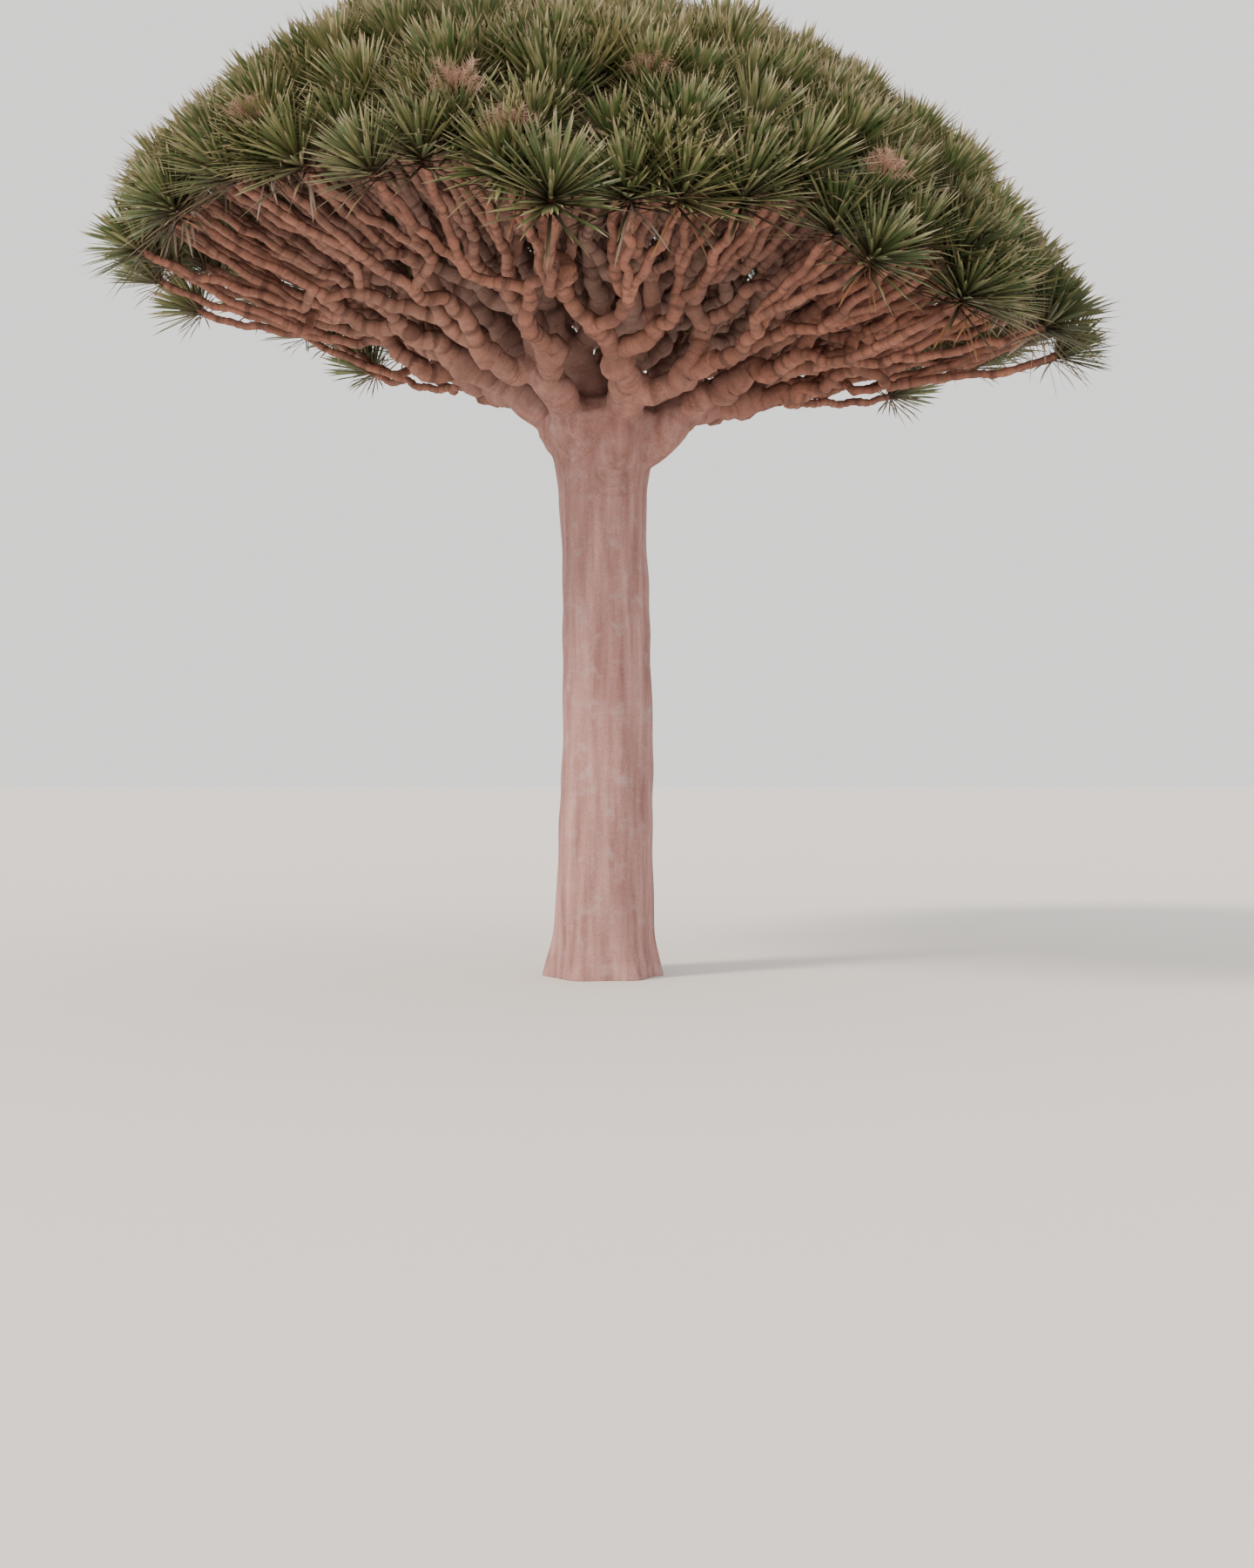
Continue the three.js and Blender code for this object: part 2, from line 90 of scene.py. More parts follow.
def add_node(tree: Any, kind: str, inputs: dict | None = None, **settings: Any) -> Any:
    """Add a node with its settings, and fill or link its inputs.

    Args:
        tree: Node tree of a material or of Geometry Nodes.
        kind: Blender's name for the node type.
        inputs: Input name or number to a value, or to an output socket to link.
        **settings: Properties of the node.

    Returns:
        The new node.
    """
    node = tree.nodes.new(kind)
    for name, value in settings.items():
        setattr(node, name, value)
    for key, value in (inputs or {}).items():
        named = [s for s in node.inputs if s.name == key and s.enabled]
        socket = node.inputs[key] if isinstance(key, int) else named[0]
        if isinstance(value, bpy.types.NodeSocket):
            tree.links.new(value, socket)
        else:
            socket.default_value = value
    return node


def output_of(node: Any, name: str | None = None) -> Any:
    """Give a node's first enabled output, or the enabled one of a given name."""
    return next(s for s in node.outputs if s.enabled and name in (None, s.name))


class Dice:
    """A small repeatable source of random numbers."""

    def __init__(self, seed: int) -> None:
        """Start from a seed."""
        self.state = seed & 0xFFFFFFFF

    def between(self, low: float, high: float) -> float:
        """Give the next number between two others."""
        self.state = (self.state * 1664525 + 1013904223) & 0xFFFFFFFF
        return low + (high - low) * self.state / 4294967296


@dataclass
class GrowingPoint:
    """A place on the dome that bears one rosette."""

    at: Array
    way: Array


@dataclass
class Limb:
    """One internode: a curved, tapering stretch between two forks.

    Attributes:
        line: Four control points of its middle line, in metres.
        radius: Mean radius in metres.
        along: Distance from the throat at which it starts, by way of its parents.
        main: Number of the main bough that it belongs to.
        depth: How many forks lie below it.
        tip: The growing point that it ends in, if it is a last twig.
    """

    line: Array
    radius: float
    along: float
    main: int
    depth: int
    tip: GrowingPoint | None = None

    def points(self, shares: Array) -> Array:
        """Give the places on the middle line at some shares of it."""
        t = shares[:, None]
        a, b, c, d = self.line
        return a * (1 - t) ** 3 + 3 * b * t * (1 - t) ** 2 + 3 * c * t**2 * (1 - t) + d * t**3

    def length(self) -> float:
        """Measure the middle line."""
        places = self.points(np.linspace(0, 1, 9))
        return float(np.linalg.norm(np.diff(places, axis=0), axis=1).sum())

    def end_way(self) -> Array:
        """Give the direction at the tip."""
        return unit(self.line[3] - self.line[2])


@dataclass
class Growth:
    """The seeded rule that spreads growing points on the dome and grows limbs to them.

    Lengths are in metres, and the turns and rises of the main boughs in degrees.

    Attributes:
        crown_drop: How far the dome sinks for each metre towards +X.
        crown_nod: How far it rises for each metre towards +Y.
        crown_twist: How far its rim sinks and rises by turns, a quarter at a time.
        rim_lean: How far a rosette at the rim leans out, as a share of its height.
        dome_steps: Number of steps in which the dome's area is measured.
        main_salt: What is added to the seed for the main boughs, as other salts are elsewhere.
        first_fork: Share of the way to the dome at which a main bough forks.
        internode: Share of the rest of the way that a pair's last limb takes up.
        pipe_power: How fast a limb's radius grows with the growing points that it bears.
        sprig_share: Share of the way at which a last twig forks into sprigs.
        rim_share: Share of the crown's radius beyond which a twig has fewer sprigs.
        stray: How far a fork inside the foliage strays sideways.
    """

    throat_height: float = 3.63
    crown_radius: float = 3.05
    rim_height: float = 4.61
    dome_rise: float = 1.70
    dome_power: float = 1.5
    crown_drop: float = 0.09
    crown_nod: float = 0.015
    crown_twist: float = 0.188
    rim_lean: float = 1.1
    lean_power: float = 3.8
    crown_shift: tuple[float, float] = (-0.02, 0.05)
    tip_radius: float = 0.036
    seed: int = 20417
    growing_points: int = 218
    outer_boughs: int = 6
    inner_boughs: int = 2
    outer_rise: float = 39.0
    inner_rise: float = 72.0
    first_outer_turn: float = -68.0
    first_inner_turn: float = 40.0
    turn_jitter: float = 5.0
    rise_jitter: float = 2.5
    polar_jitter: float = 0.035
    swing_jitter: float = 0.06
    least_spin: float = 0.35
    deepest: float = -0.06
    highest: float = 0.03
    dome_steps: int = 200
    main_salt: int = 1
    first_fork: float = 0.25
    second_fork: float = 0.36
    stem_share: float = 0.03
    internode: float = 0.50
    limb_sag: float = 0.165
    limb_tilt: float = 0.025
    sag_power: float = 0.8
    pipe_power: float = 0.414
    sprig_share: float = 0.68
    rim_share: float = 0.80
    rim_sprigs: int = 2
    dome_sprigs: int = 3
    sprig_spread: float = 0.15
    sprig_tilt: float = 0.3
    sprig_radius: float = 0.031
    limb_reach: float = 0.3
    root_reach: float = 0.42
    fork_lean: float = 0.25
    end_lift: float = 0.15
    end_pull: float = 0.7
    chord_pull: float = 0.5
    root_dip: float = 0.35
    bough_root_depth: float = 0.24
    stray: float = 0.055
    stray_range: tuple[float, float] = (0.5, 1.3)
    stray_rise: float = 0.2
    stray_salt: int = 977
    limbs: list[Limb] = field(default_factory=list)

    def __post_init__(self) -> None:
        """Place the throat."""
        self.throat = np.array([0.0, 0.0, self.throat_height])

    def dome_point(self, polar: float, turn: float, offset: float) -> Array:
        """Find a place on the dome, or on one that stands out from it by an offset."""
        radius = self.crown_radius + offset
        x = radius * math.sin(polar) * math.cos(turn)
        y = radius * math.sin(polar) * math.sin(turn)
        rise = (self.dome_rise + offset) * max(0.0, math.cos(polar)) ** self.dome_power
        dx, dy = self.crown_shift
        lean = self.crown_drop * x - self.crown_nod * y
        lean -= self.crown_twist * x * y / self.crown_radius**2
        return np.array([x + dx, y + dy, self.rim_height + rise - lean])

    def even_polar_angles(self) -> list[float]:
        """Find the polar angles that part the dome into bands of equal area."""
        angles, areas = [0.0], [0.0]
        before = (0.0, self.dome_rise)
        for i in range(1, self.dome_steps + 1):
            polar = 0.5 * math.pi * i / self.dome_steps
            rise = self.dome_rise * max(0.0, math.cos(polar)) ** self.dome_power
            here = (self.crown_radius * math.sin(polar), rise)
            step = math.hypot(here[0] - before[0], here[1] - before[1])
            angles.append(polar)
            areas.append(areas[-1] + step * (here[0] + before[0]))
            before = here
        shares = (np.arange(self.growing_points) + 0.5) / self.growing_points
        return list(np.interp(shares * areas[-1], areas, angles))

    def points(self) -> list[GrowingPoint]:
        """Spread the growing points in a sunflower spiral, each nudged a little."""
        dice = Dice(self.seed)
        made = []
        for i, even in enumerate(self.even_polar_angles()):
            nudged = even + dice.between(-self.polar_jitter, self.polar_jitter)
            polar = min(max(nudged, 0.0), math.pi / 2)
            nudge = dice.between(-self.swing_jitter, self.swing_jitter)
            turn = i * GOLDEN_ANGLE + nudge / max(self.least_spin, math.sin(polar))
            at = self.dome_point(polar, turn, dice.between(self.deepest, self.highest))
            made.append(GrowingPoint(at, unit(at - self.throat)))
        return made

    def part(self, group: list, share: float, across: Array | None = None) -> tuple:
        """Part a group in two by a plane through the throat.

        Args:
            group: Growing points.
            share: The part of them that goes on the low side.
            across: Direction in which to part them, or None for the widest one.

        Returns:
            The two groups.
        """
        way = unit(sum(p.way for p in group))
        if across is None:
            one = max(group, key=lambda p: float(np.linalg.norm(p.way - way)))
            other = max(group, key=lambda p: float(np.linalg.norm(p.way - one.way)))
            across = other.way - one.way
        normal = square_to(across, way)
        ordered = sorted(group, key=lambda p: float(p.way @ normal) / float(p.way @ way))
        cut = max(1, min(len(group) - 1, int(len(group) * share + 0.5)))
        return ordered[:cut], ordered[cut:]

    def main_groups(self) -> list[list[GrowingPoint]]:
        """Deal each growing point to the main bough whose direction is nearest."""
        dice = Dice(self.seed + self.main_salt)
        aims = []
        for i in range(self.outer_boughs):
            turn = self.first_outer_turn + 360 / self.outer_boughs * i
            nudge = dice.between(-self.turn_jitter, self.turn_jitter)
            lift = dice.between(-self.rise_jitter, self.rise_jitter)
            aims.append((turn + nudge, self.outer_rise + lift))
        for i in range(self.inner_boughs):
            turn = self.first_inner_turn + 360 / self.inner_boughs * i
            nudge = dice.between(-self.turn_jitter, self.turn_jitter)
            aims.append((turn + nudge, self.inner_rise))
        ways = []
        for turn, rise in aims:
            t, r = math.radians(turn), math.radians(rise)
            ways.append([math.cos(r) * math.cos(t), math.cos(r) * math.sin(t), math.sin(r)])
        groups: list[list[GrowingPoint]] = [[] for _ in ways]
        for point in self.points():
            groups[int(np.argmax(np.array(ways) @ point.way))].append(point)
        return groups

    def part_main_group(self, group: list, outer: bool) -> list:
        """Part a main bough's group in three: two at the rim and one above, or three alike."""
        if outer:
            low, high = self.part(group, 2 / 3, UP)
            sideways = np.cross(UP, unit(sum(p.way for p in group)))
            return [*self.part(low, 1 / 2, sideways), high]
        one, rest = self.part(group, 1 / 3)
        return [one, *self.part(rest, 1 / 2)]

    def fork_point(self, group: list, share: float) -> Array:
        """Find where a group's limb forks: part of the way from the throat to its middle."""
        way = unit(sum(p.way for p in group))
        middle = sum(p.at for p in group) / len(group)
        sag = self.limb_sag * way[2] * (1 - way[2]) + self.limb_tilt * way[0]
        drop = sag * math.sin(math.pi * share**self.sag_power)
        return self.throat + (middle - self.throat) * share - UP * drop

    def strayed(self, at: Array, number: int) -> Array:
        """Give how far a fork inside the foliage strays sideways, so that limbs zigzag."""
        dice = Dice(self.seed + self.stray_salt * number)
        turn = dice.between(0, 2 * math.pi)
        aside = np.array([math.cos(turn), math.sin(turn), self.stray_rise])
        side = square_to(aside, unit(at - self.throat))
        return side * self.stray * dice.between(*self.stray_range)

    def facing(self, at: Array) -> Array:
        """Give the way that a rosette faces: upright on the dome, and leaning out at its rim."""
        out = np.array([at[0] - self.crown_shift[0], at[1] - self.crown_shift[1], 0.0])
        reach = float(np.linalg.norm(out)) / self.crown_radius
        return unit(unit(out) * self.rim_lean * reach**self.lean_power + UP)

    def limb_to(self, share: float, group: list, parent: Limb | None, main: int) -> Limb:
        """Grow one limb from its parent's tip to the fork of its group."""
        start = self.throat - UP * self.bough_root_depth if parent is None else parent.line[3]
        start_way = UP if parent is None else parent.end_way()
        end = self.fork_point(group, share)
        if parent is not None and parent.depth > 1 and share < 1:
            end = end + self.strayed(end, len(self.limbs))
        chord = end - start
        length = float(np.linalg.norm(chord))
        chord = unit(chord)
        lift = -self.root_dip if parent is None else self.end_lift
        first = self.root_reach if parent is None else self.limb_reach
        end_way = unit(unit(sum(p.way for p in group)) + UP * lift)
        if share == 1:
            end_way = self.facing(end)
        leave = unit(chord + start_way * self.fork_lean)
        arrive = unit(end_way * self.end_pull + chord * self.chord_pull)
        out, back = leave * length * first, arrive * length * self.limb_reach
        line = np.array([start, start + out, end - back, end])
        radius = self.tip_radius * len(group) ** self.pipe_power
        along = -self.bough_root_depth if parent is None else parent.along + parent.length()
        depth = 0 if parent is None else parent.depth + 1
        limb = Limb(line, radius, along, main, depth)
        self.limbs.append(limb)
        return limb

    def fork_on(self, limb: Limb, group: list, share: float) -> None:
        """Fork a limb again and again, until each growing point has a twig of its own."""
        if len(group) == 1:
            self.end_in_sprigs(limb, group[0])
            return
        for part in self.part(group, 1 / 2):
            step = self.internode * (1 - share) / (1 + math.log2(len(part)))
            reach = self.sprig_share if len(part) == 1 else share + step
            self.fork_on(self.limb_to(reach, part, limb, limb.main), part, reach)

    def end_in_sprigs(self, limb: Limb, point: GrowingPoint) -> None:
        """Fork a last twig into sprigs, each with a rosette: two at the rim, three above it."""
        facing = self.facing(point.at)
        out = math.hypot(point.at[0], point.at[1]) / self.crown_radius
        count = self.rim_sprigs if out > self.rim_share else self.dome_sprigs
        first = GOLDEN_ANGLE * len(self.limbs)
        for i in range(count):
            turn = first + 2 * math.pi * i / count
            side = square_to(np.array([math.cos(turn), math.sin(turn), 0.0]), facing)
            at = point.at + side * self.sprig_spread
            sprig = self.limb_to(1.0, [GrowingPoint(at, point.way)], limb, limb.main)
            sprig.radius = self.sprig_radius
            sprig.tip = GrowingPoint(at, unit(facing + side * self.sprig_tilt))

    def grow(self) -> list[Limb]:
        """Grow every limb of the crown, from the throat to the last twigs."""
        for main, group in enumerate(self.main_groups()):
            bough = self.limb_to(self.first_fork, group, None, main)
            for part in self.part_main_group(group, main < self.outer_boughs):
                outer = self.limb_to(self.second_fork, part, bough, main)
                share = self.second_fork + self.stem_share
                stem = self.limb_to(share, part, outer, main)
                self.fork_on(stem, part, share)
        return self.limbs


class MeshParts:
    """Vertices and faces gathered from many small closed shapes."""

    def __init__(self) -> None:
        """Start empty."""
        self.vertices: list[Array] = []
        self.faces: list[list[int]] = []
        self.along: list[Array] = []
        self.count = 0

    def add(self, vertices: Array, faces: list[list[int]], along: Array) -> None:
        """Add one shape, with its faces numbered from its own first vertex.

        Args:
            vertices: Places of its vertices.
            faces: Its faces.
            along: Distance of each vertex from the throat, along the limbs.
        """
        self.vertices.append(vertices)
        self.faces.extend([[i + self.count for i in face] for face in faces])
        self.along.append(along)
        self.count += len(vertices)

    def mesh(self, name: str) -> bpy.types.Mesh:
        """Make the mesh, with its distances as an attribute."""
        mesh = mesh_of(name, np.concatenate(self.vertices).tolist(), self.faces)
        store(mesh, "along", np.concatenate(self.along))
        mesh.shade_smooth()
        return mesh


def mesh_of(name: str, vertices: list, faces: list) -> bpy.types.Mesh:
    """Make a mesh from its vertices and faces."""
    mesh = bpy.data.meshes.new(name)
    mesh.from_pydata(vertices, [], faces)
    return mesh


def store(mesh: bpy.types.Mesh, name: str, values: Any) -> None:
    """Store one number on each vertex of a mesh, under a name that nodes read."""
    marks = mesh.attributes.get(name) or mesh.attributes.new(name, "FLOAT", "POINT")
    marks.data.foreach_set("value", values)


def spots_of(mesh: bpy.types.Mesh) -> Array:
    """Give the places of a mesh's vertices, one row each."""
    spots = np.empty(len(mesh.vertices) * 3)
    mesh.vertices.foreach_get("co", spots)
    return spots.reshape(-1, 3)


def object_of(mesh: bpy.types.Mesh, name: str) -> bpy.types.Object:
    """Put a mesh in the scene as an object of its own at the origin."""
    made = bpy.data.objects.new(name, mesh)
    bpy.context.collection.objects.link(made)
    return made


def baked(piece: bpy.types.Object) -> bpy.types.Object:
    """Replace a piece's mesh by its evaluated one, and remove its modifiers."""
    graph = bpy.context.evaluated_depsgraph_get()
    mesh = bpy.data.meshes.new_from_object(piece.evaluated_get(graph))
    piece.modifiers.clear()
    piece.data = mesh
    return piece


def tube(places: Array, radii: Array, sides: int) -> tuple[Array, list[list[int]]]:
    """Make a closed tube with round ends along a line of places.

    Args:
        places: Middle line, one row for each ring.
        radii: Radius at each ring.
        sides: Number of sides.

    Returns:
        Vertices and faces.
    """
    first, last = unit(places[1] - places[0]), unit(places[-1] - places[-2])
    head = [(places[0] - first * radii[0] * h, radii[0] * w) for w, h in reversed(ROUND_END)]
    tail = [(places[-1] + last * radii[-1] * h, radii[-1] * w) for w, h in ROUND_END]
    centres = np.array([c for c, _ in head] + list(places) + [c for c, _ in tail])
    widths = np.array([w for _, w in head] + list(radii) + [w for _, w in tail])
    ways = np.gradient(centres, axis=0)
    ways /= np.linalg.norm(ways, axis=1)[:, None]
    side = square_to(RING_START, ways[0])
    angles = np.linspace(0, 2 * math.pi, sides, endpoint=False)
    rings = []
    for centre, way, width in zip(centres, ways, widths):
        side = square_to(side, way)
        front = np.cross(way, side)
        ring = np.outer(np.cos(angles), side) + np.outer(np.sin(angles), front)
        rings.append(centre + ring * width)
    count = len(centres)
    ends = [places[0] - first * radii[0], places[-1] + last * radii[-1]]
    vertices = np.concatenate([*rings, np.array(ends)])
    faces = []
    for r in range(count - 1):
        for s in range(sides):
            a, b = r * sides + s, r * sides + (s + 1) % sides
            faces.append([a, b, b + sides, a + sides])
    foot, top = count * sides, count * sides + 1
    for s in range(sides):
        n = (s + 1) % sides
        faces.append([foot, n, s])
        faces.append([top, (count - 1) * sides + s, (count - 1) * sides + n])
    return vertices, faces


@dataclass
class BarkBuilder:
    """Skins limbs with closed tubes, melts them into one surface and marks it for its rings.

    Attributes:
        voxel: Grain of the melted surface, in metres.
        sausage: Length of one swelling between two rings, in metres.
        sausage_steady: The part of that length that is alike on thick and thin limbs.
        sausage_range: Shares of that length between which it varies.
        swelling: Height of a swelling as a share of the limb's radius.
        swelling_range: Shares of that height between which it varies.
        lumpy_radius: Radius up to which a limb swells in full, in metres.
        knuckle: How much thicker a limb is at its fork, as a share of its radius.
        bend: How far a limb wanders from its curve, as a share of its radius.
        bends: Wavelengths of that wandering, in metres.
        taper: How much slimmer a limb is at its tip.
        ring_step: Distance between the rings of vertices of a tube, in metres.
        least_rings: Number of those rings on the shortest limb.
        sides: Number of sides of a limb.
        sprig_sides: Number of sides of a sprig.
        smooth_rounds: How often the melted surface is smoothed.
        smooth_share: How much of its unevenness each round takes away.
    """

    voxel: float = 0.017
    sausage: float = 0.085
    sausage_steady: float = 0.6
    sausage_range: tuple[float, float] = (0.55, 1.3)
    swelling: float = 0.17
    swelling_range: tuple[float, float] = (0.3, 1.2)
    lumpy_radius: float = 0.05
    knuckle: float = 0.20
    bend: float = 0.55
    bends: tuple[float, ...] = (0.58, 0.29)
    taper: float = 0.10
    ring_step: float = 0.025
    least_rings: int = 5
    sides: int = 12
    sprig_sides: int = 6
    smooth_rounds: int = 4
    smooth_share: float = 0.5
    places: list[Array] = field(default_factory=list)
    ways: list[Array] = field(default_factory=list)
    along: list[Array] = field(default_factory=list)

    def swellings(self, limb: Limb, dice: Dice) -> tuple[list[float], list[float]]:
        """Give the places of rings and swellings along a limb, and its girth at each.

        A thick limb is smoother: its swellings are longer, and lower for its radius.
        """
        fade = min(1.0, self.lumpy_radius / limb.radius)
        stretch = (1 - self.sausage_steady) * limb.radius / self.lumpy_radius
        sausage = self.sausage * (self.sausage_steady + stretch)
        swelling = self.swelling * fade
        places, girths = [0.0], [1 + self.knuckle * fade]
        while places[-1] < limb.length():
            step = sausage * dice.between(*self.sausage_range)
            places += [places[-1] + step / 2, places[-1] + step]
            girths += [1 + swelling * dice.between(*self.swelling_range), 1 - swelling]
        return places, girths

    def add_limb(self, limb: Limb, parts: MeshParts, dice: Dice) -> None:
        """Add one limb's tube, swollen unevenly like a string of sausages."""
        length = limb.length()
        count = max(self.least_rings, int(length / self.ring_step) + 1)
        shares = np.linspace(0, 1, count)
        places = limb.points(shares)
        girth = np.interp(shares * length, *self.swellings(limb, dice))
        radii = limb.radius * (1 + self.taper * (1 - 2 * shares)) * girth
        envelope = np.sin(shares * math.pi) ** 0.5
        for wavelength in self.bends:
            sway = np.array([dice.between(-1, 1) for _ in range(3)]) * self.bend * limb.radius
            phase = shares * length / wavelength + dice.between(0, 1)
            places = places + (envelope * np.sin(2 * math.pi * phase))[:, None] * sway
        along = limb.along + length * shares
        free = along >= 0
        self.places.append(places[free])
        self.ways.append(np.gradient(places, axis=0)[free])
        self.along.append(along[free])
        sides = self.sides if limb.tip is None else self.sprig_sides
        vertices, faces = tube(places, radii, sides)
        rows = np.concatenate([along[:1], along[:1], along, along[-1:], along[-1:]])
        marks = np.concatenate([np.repeat(rows, sides), along[:1], along[-1:]])
        parts.add(vertices, faces, marks)

    def melt(self, parts: MeshParts, name: str) -> bpy.types.Object:
        """Join closed shapes into one smooth closed surface."""
        piece = object_of(parts.mesh(name), name)
        remesh = piece.modifiers.new("melt", "REMESH")
        remesh.mode = "VOXEL"
        remesh.voxel_size = self.voxel
        smooth = piece.modifiers.new("smooth", "SMOOTH")
        smooth.factor = self.smooth_share
        smooth.iterations = self.smooth_rounds
        return baked(piece)

    def mark_rings(self, piece: bpy.types.Object) -> None:
        """Store on each vertex how far along its limb it lies, for rings across the bark."""
        places, along = np.concatenate(self.places), np.concatenate(self.along)
        ways = np.concatenate(self.ways)
        ways /= np.linalg.norm(ways, axis=1)[:, None]
        tree = kdtree.KDTree(len(places))
        for i, place in enumerate(places):
            tree.insert(Vector(place), i)
        tree.balance()
        spots = spots_of(piece.data)
        nearest = np.array([tree.find(Vector(spot))[1] for spot in spots])
        shift = ((spots - places[nearest]) * ways[nearest]).sum(axis=1)
        store(piece.data, "along", along[nearest] + shift)
        piece.data.shade_smooth()


@dataclass(frozen=True)
class Shade:
    """The shade between the outer limbs and the dome, by how steep the way from the throat is.

    Attributes:
        least_steep: Rise over run at which the shade begins.
        span: What is added to that where it is full.
        reach: Distance from the tree's axis at which it is full, in metres.
        least_run: Least distance from the axis that is reckoned with, in metres.
    """

    least_steep: float = 0.38
    span: float = 0.5
    reach: float = 0.5
    least_run: float = 0.05

    def mark(self, piece: bpy.types.Object, throat: Array) -> None:
        """Store on each vertex of a piece how deep in the shade it lies."""
        from_throat = spots_of(piece.data) - throat
        across = np.hypot(from_throat[:, 0], from_throat[:, 1])
        steep = from_throat[:, 2] / np.maximum(across, self.least_run)
        full = np.clip((steep - self.least_steep) / self.span, 0, 1)
        store(piece.data, "deep", full * np.clip(across / self.reach, 0, 1))


@dataclass
class Trunk:
    """The bare trunk: a root flare with soft lobes, a long shaft and a neck that opens out.

    Attributes:
        growth: The limbs that it bears.
        outline: Radii and heights from the ground to the neck, in metres.
        flare_height: Height at which the root lobes have faded out, in metres.
        lobe_sharpness: How narrow each lobe is.
        lobe_wander: How unevenly the lobes stand round the trunk, in radians.
        sway: How far the shaft bends sideways, in metres.
        sway_forward: How far it bends forwards, as a share of that.
        funnel: Radii of the neck, and their heights above the throat, in metres.
        row_step: Distance between the rows of vertices, in metres.
    """

    growth: Growth
    outline: tuple[tuple[float, float], ...] = (
        (0.372, -0.08),
        (0.372, 0.0),
        (0.350, 0.26),
        (0.332, 0.83),
        (0.312, 1.86),
        (0.296, 2.975),
        (0.304, 3.38),
    )
    flare_height: float = 0.52
    lobes: int = 6
    lobe_depth: float = 0.055
    lobe_sharpness: float = 1.6
    sway: float = 0.026
    funnel: tuple[tuple[float, float], ...] = (
        (0.362, 0.07),
        (0.430, 0.24),
        (0.330, 0.34),
        (0.160, 0.41),
        (0.010, 0.43),
    )
    sides: int = 96
    row_step: float = 0.03
    flute_depth: float = 0.005
    rib_depth: float = 0.002
    band_depth: float = 0.003
    lump_depth: float = 0.007
    lobe_wander: float = 0.7
    sway_forward: float = 0.4

    def profile(self) -> tuple[tuple[float, ...], tuple[float, ...]]:
        """Give heights and radii of the outline from the ground to the head in the fork."""
        throat = self.growth.throat_height
        head = [(radius, throat + above) for radius, above in self.funnel]
        radii, heights = zip(*self.outline, *head)
        return heights, radii

    def relief(self, turn: Array, height: float) -> Array:
        """Give the bark's own relief: faint flutes up the shaft, and shallow swollen bands.

        The whole numbers beside turn count waves round the trunk. The others pace and shift the
        waves by height, none in step with another.
        """
        flutes = self.flute_depth * np.sin(5 * turn + 1.2 * math.sin(height * 0.9))
        ribs = self.rib_depth * np.sin(11 * turn + 2.1 * math.sin(height * 0.6 + 1))
        bands = self.band_depth * math.sin(height * 14 + 0.8 * math.sin(height * 5))
        lumps = self.lump_depth * np.sin(3 * turn + height * 2.7) * math.sin(height * 3.1)
        return flutes + ribs + bands + lumps

    def shaft(self) -> tuple[Array, list[list[int]]]:
        """Make the trunk as one closed surface of rings."""
        heights, radii = self.profile()
        rows = np.arange(heights[0], heights[-1], self.row_step)
        turn = np.linspace(0, 2 * math.pi, self.sides, endpoint=False)
        rings = []
        for height in rows:
            base = float(np.interp(height, heights, radii))
            fade = max(0.0, 1 - max(height, 0.0) / self.flare_height) ** 2
            wave = 0.5 + 0.5 * np.cos(self.lobes * turn + self.lobe_wander * np.sin(turn))
            reach = self.lobe_depth * fade * wave**self.lobe_sharpness
            around = base + reach + self.relief(turn, height)
            share = min(1.0, max(height, 0.0) / self.growth.throat_height)
            sway = self.sway * math.sin(math.pi * share) ** 2
            x = around * np.cos(turn) + sway
            y = around * np.sin(turn) - self.sway_forward * sway
            rings.append(np.stack([x, y, np.full_like(x, height)], axis=1))
        count = len(rows)
        middles = np.array([[0, 0, rows[0]], [0, 0, rows[-1]]])
        vertices = np.concatenate([*rings, middles])
        faces = []
        n = self.sides
        for r in range(count - 1):
            for s in range(n):
                a, b = r * n + s, r * n + (s + 1) % n
                faces.append([a, b, b + n, a + n])
        for s in range(n):
            faces.append([count * n, (s + 1) % n, s])
            faces.append([count * n + 1, (count - 1) * n + s, (count - 1) * n + (s + 1) % n])
        return vertices, faces

    def mark_line(self, builder: BarkBuilder) -> None:
        """Give the builder the trunk's middle line, for the bark's rings."""
        throat = self.growth.throat_height
        heights = np.arange(0, throat, self.row_step)
        flat = np.zeros_like(heights)
        builder.places.append(np.stack([flat, flat, heights], axis=1))
        builder.ways.append(np.stack([flat, flat, flat + 1], axis=1))
        builder.along.append(heights - throat)


def cut_at_ground(piece: bpy.types.Object) -> None:
    """Cut a piece flat at ground level and close the cut."""
    form = bmesh.new()
    form.from_mesh(piece.data)
    every = form.verts[:] + form.edges[:] + form.faces[:]
    cut = bmesh.ops.bisect_plane(
        form, geom=every, plane_co=(0, 0, 0), plane_no=(0, 0, 1), clear_inner=True
    )
    edges = [e for e in cut["geom_cut"] if isinstance(e, bmesh.types.BMEdge)]
    bmesh.ops.holes_fill(form, edges=edges, sides=0)
    form.to_mesh(piece.data)
    form.free()


def new_material(name: str) -> tuple[bpy.types.Material, Any, Any]:
    """Make a material, and give it with its node tree and its shader."""
    made = bpy.data.materials.new(name)
    made.use_nodes = True
    return made, made.node_tree, made.node_tree.nodes["Principled BSDF"]


def read_mark(tree: Any, name: str) -> Any:
    """Read a number that was stored on the vertices."""
    return add_node(tree, "ShaderNodeAttribute", attribute_name=name).outputs["Fac"]


def sum_of(tree: Any, operation: str, *values: Any) -> Any:
    """Work out a sum of one to three values, in a material or in Geometry Nodes."""
    node = add_node(tree, "ShaderNodeMath", dict(enumerate(values)), operation=operation)
    return node.outputs[0]


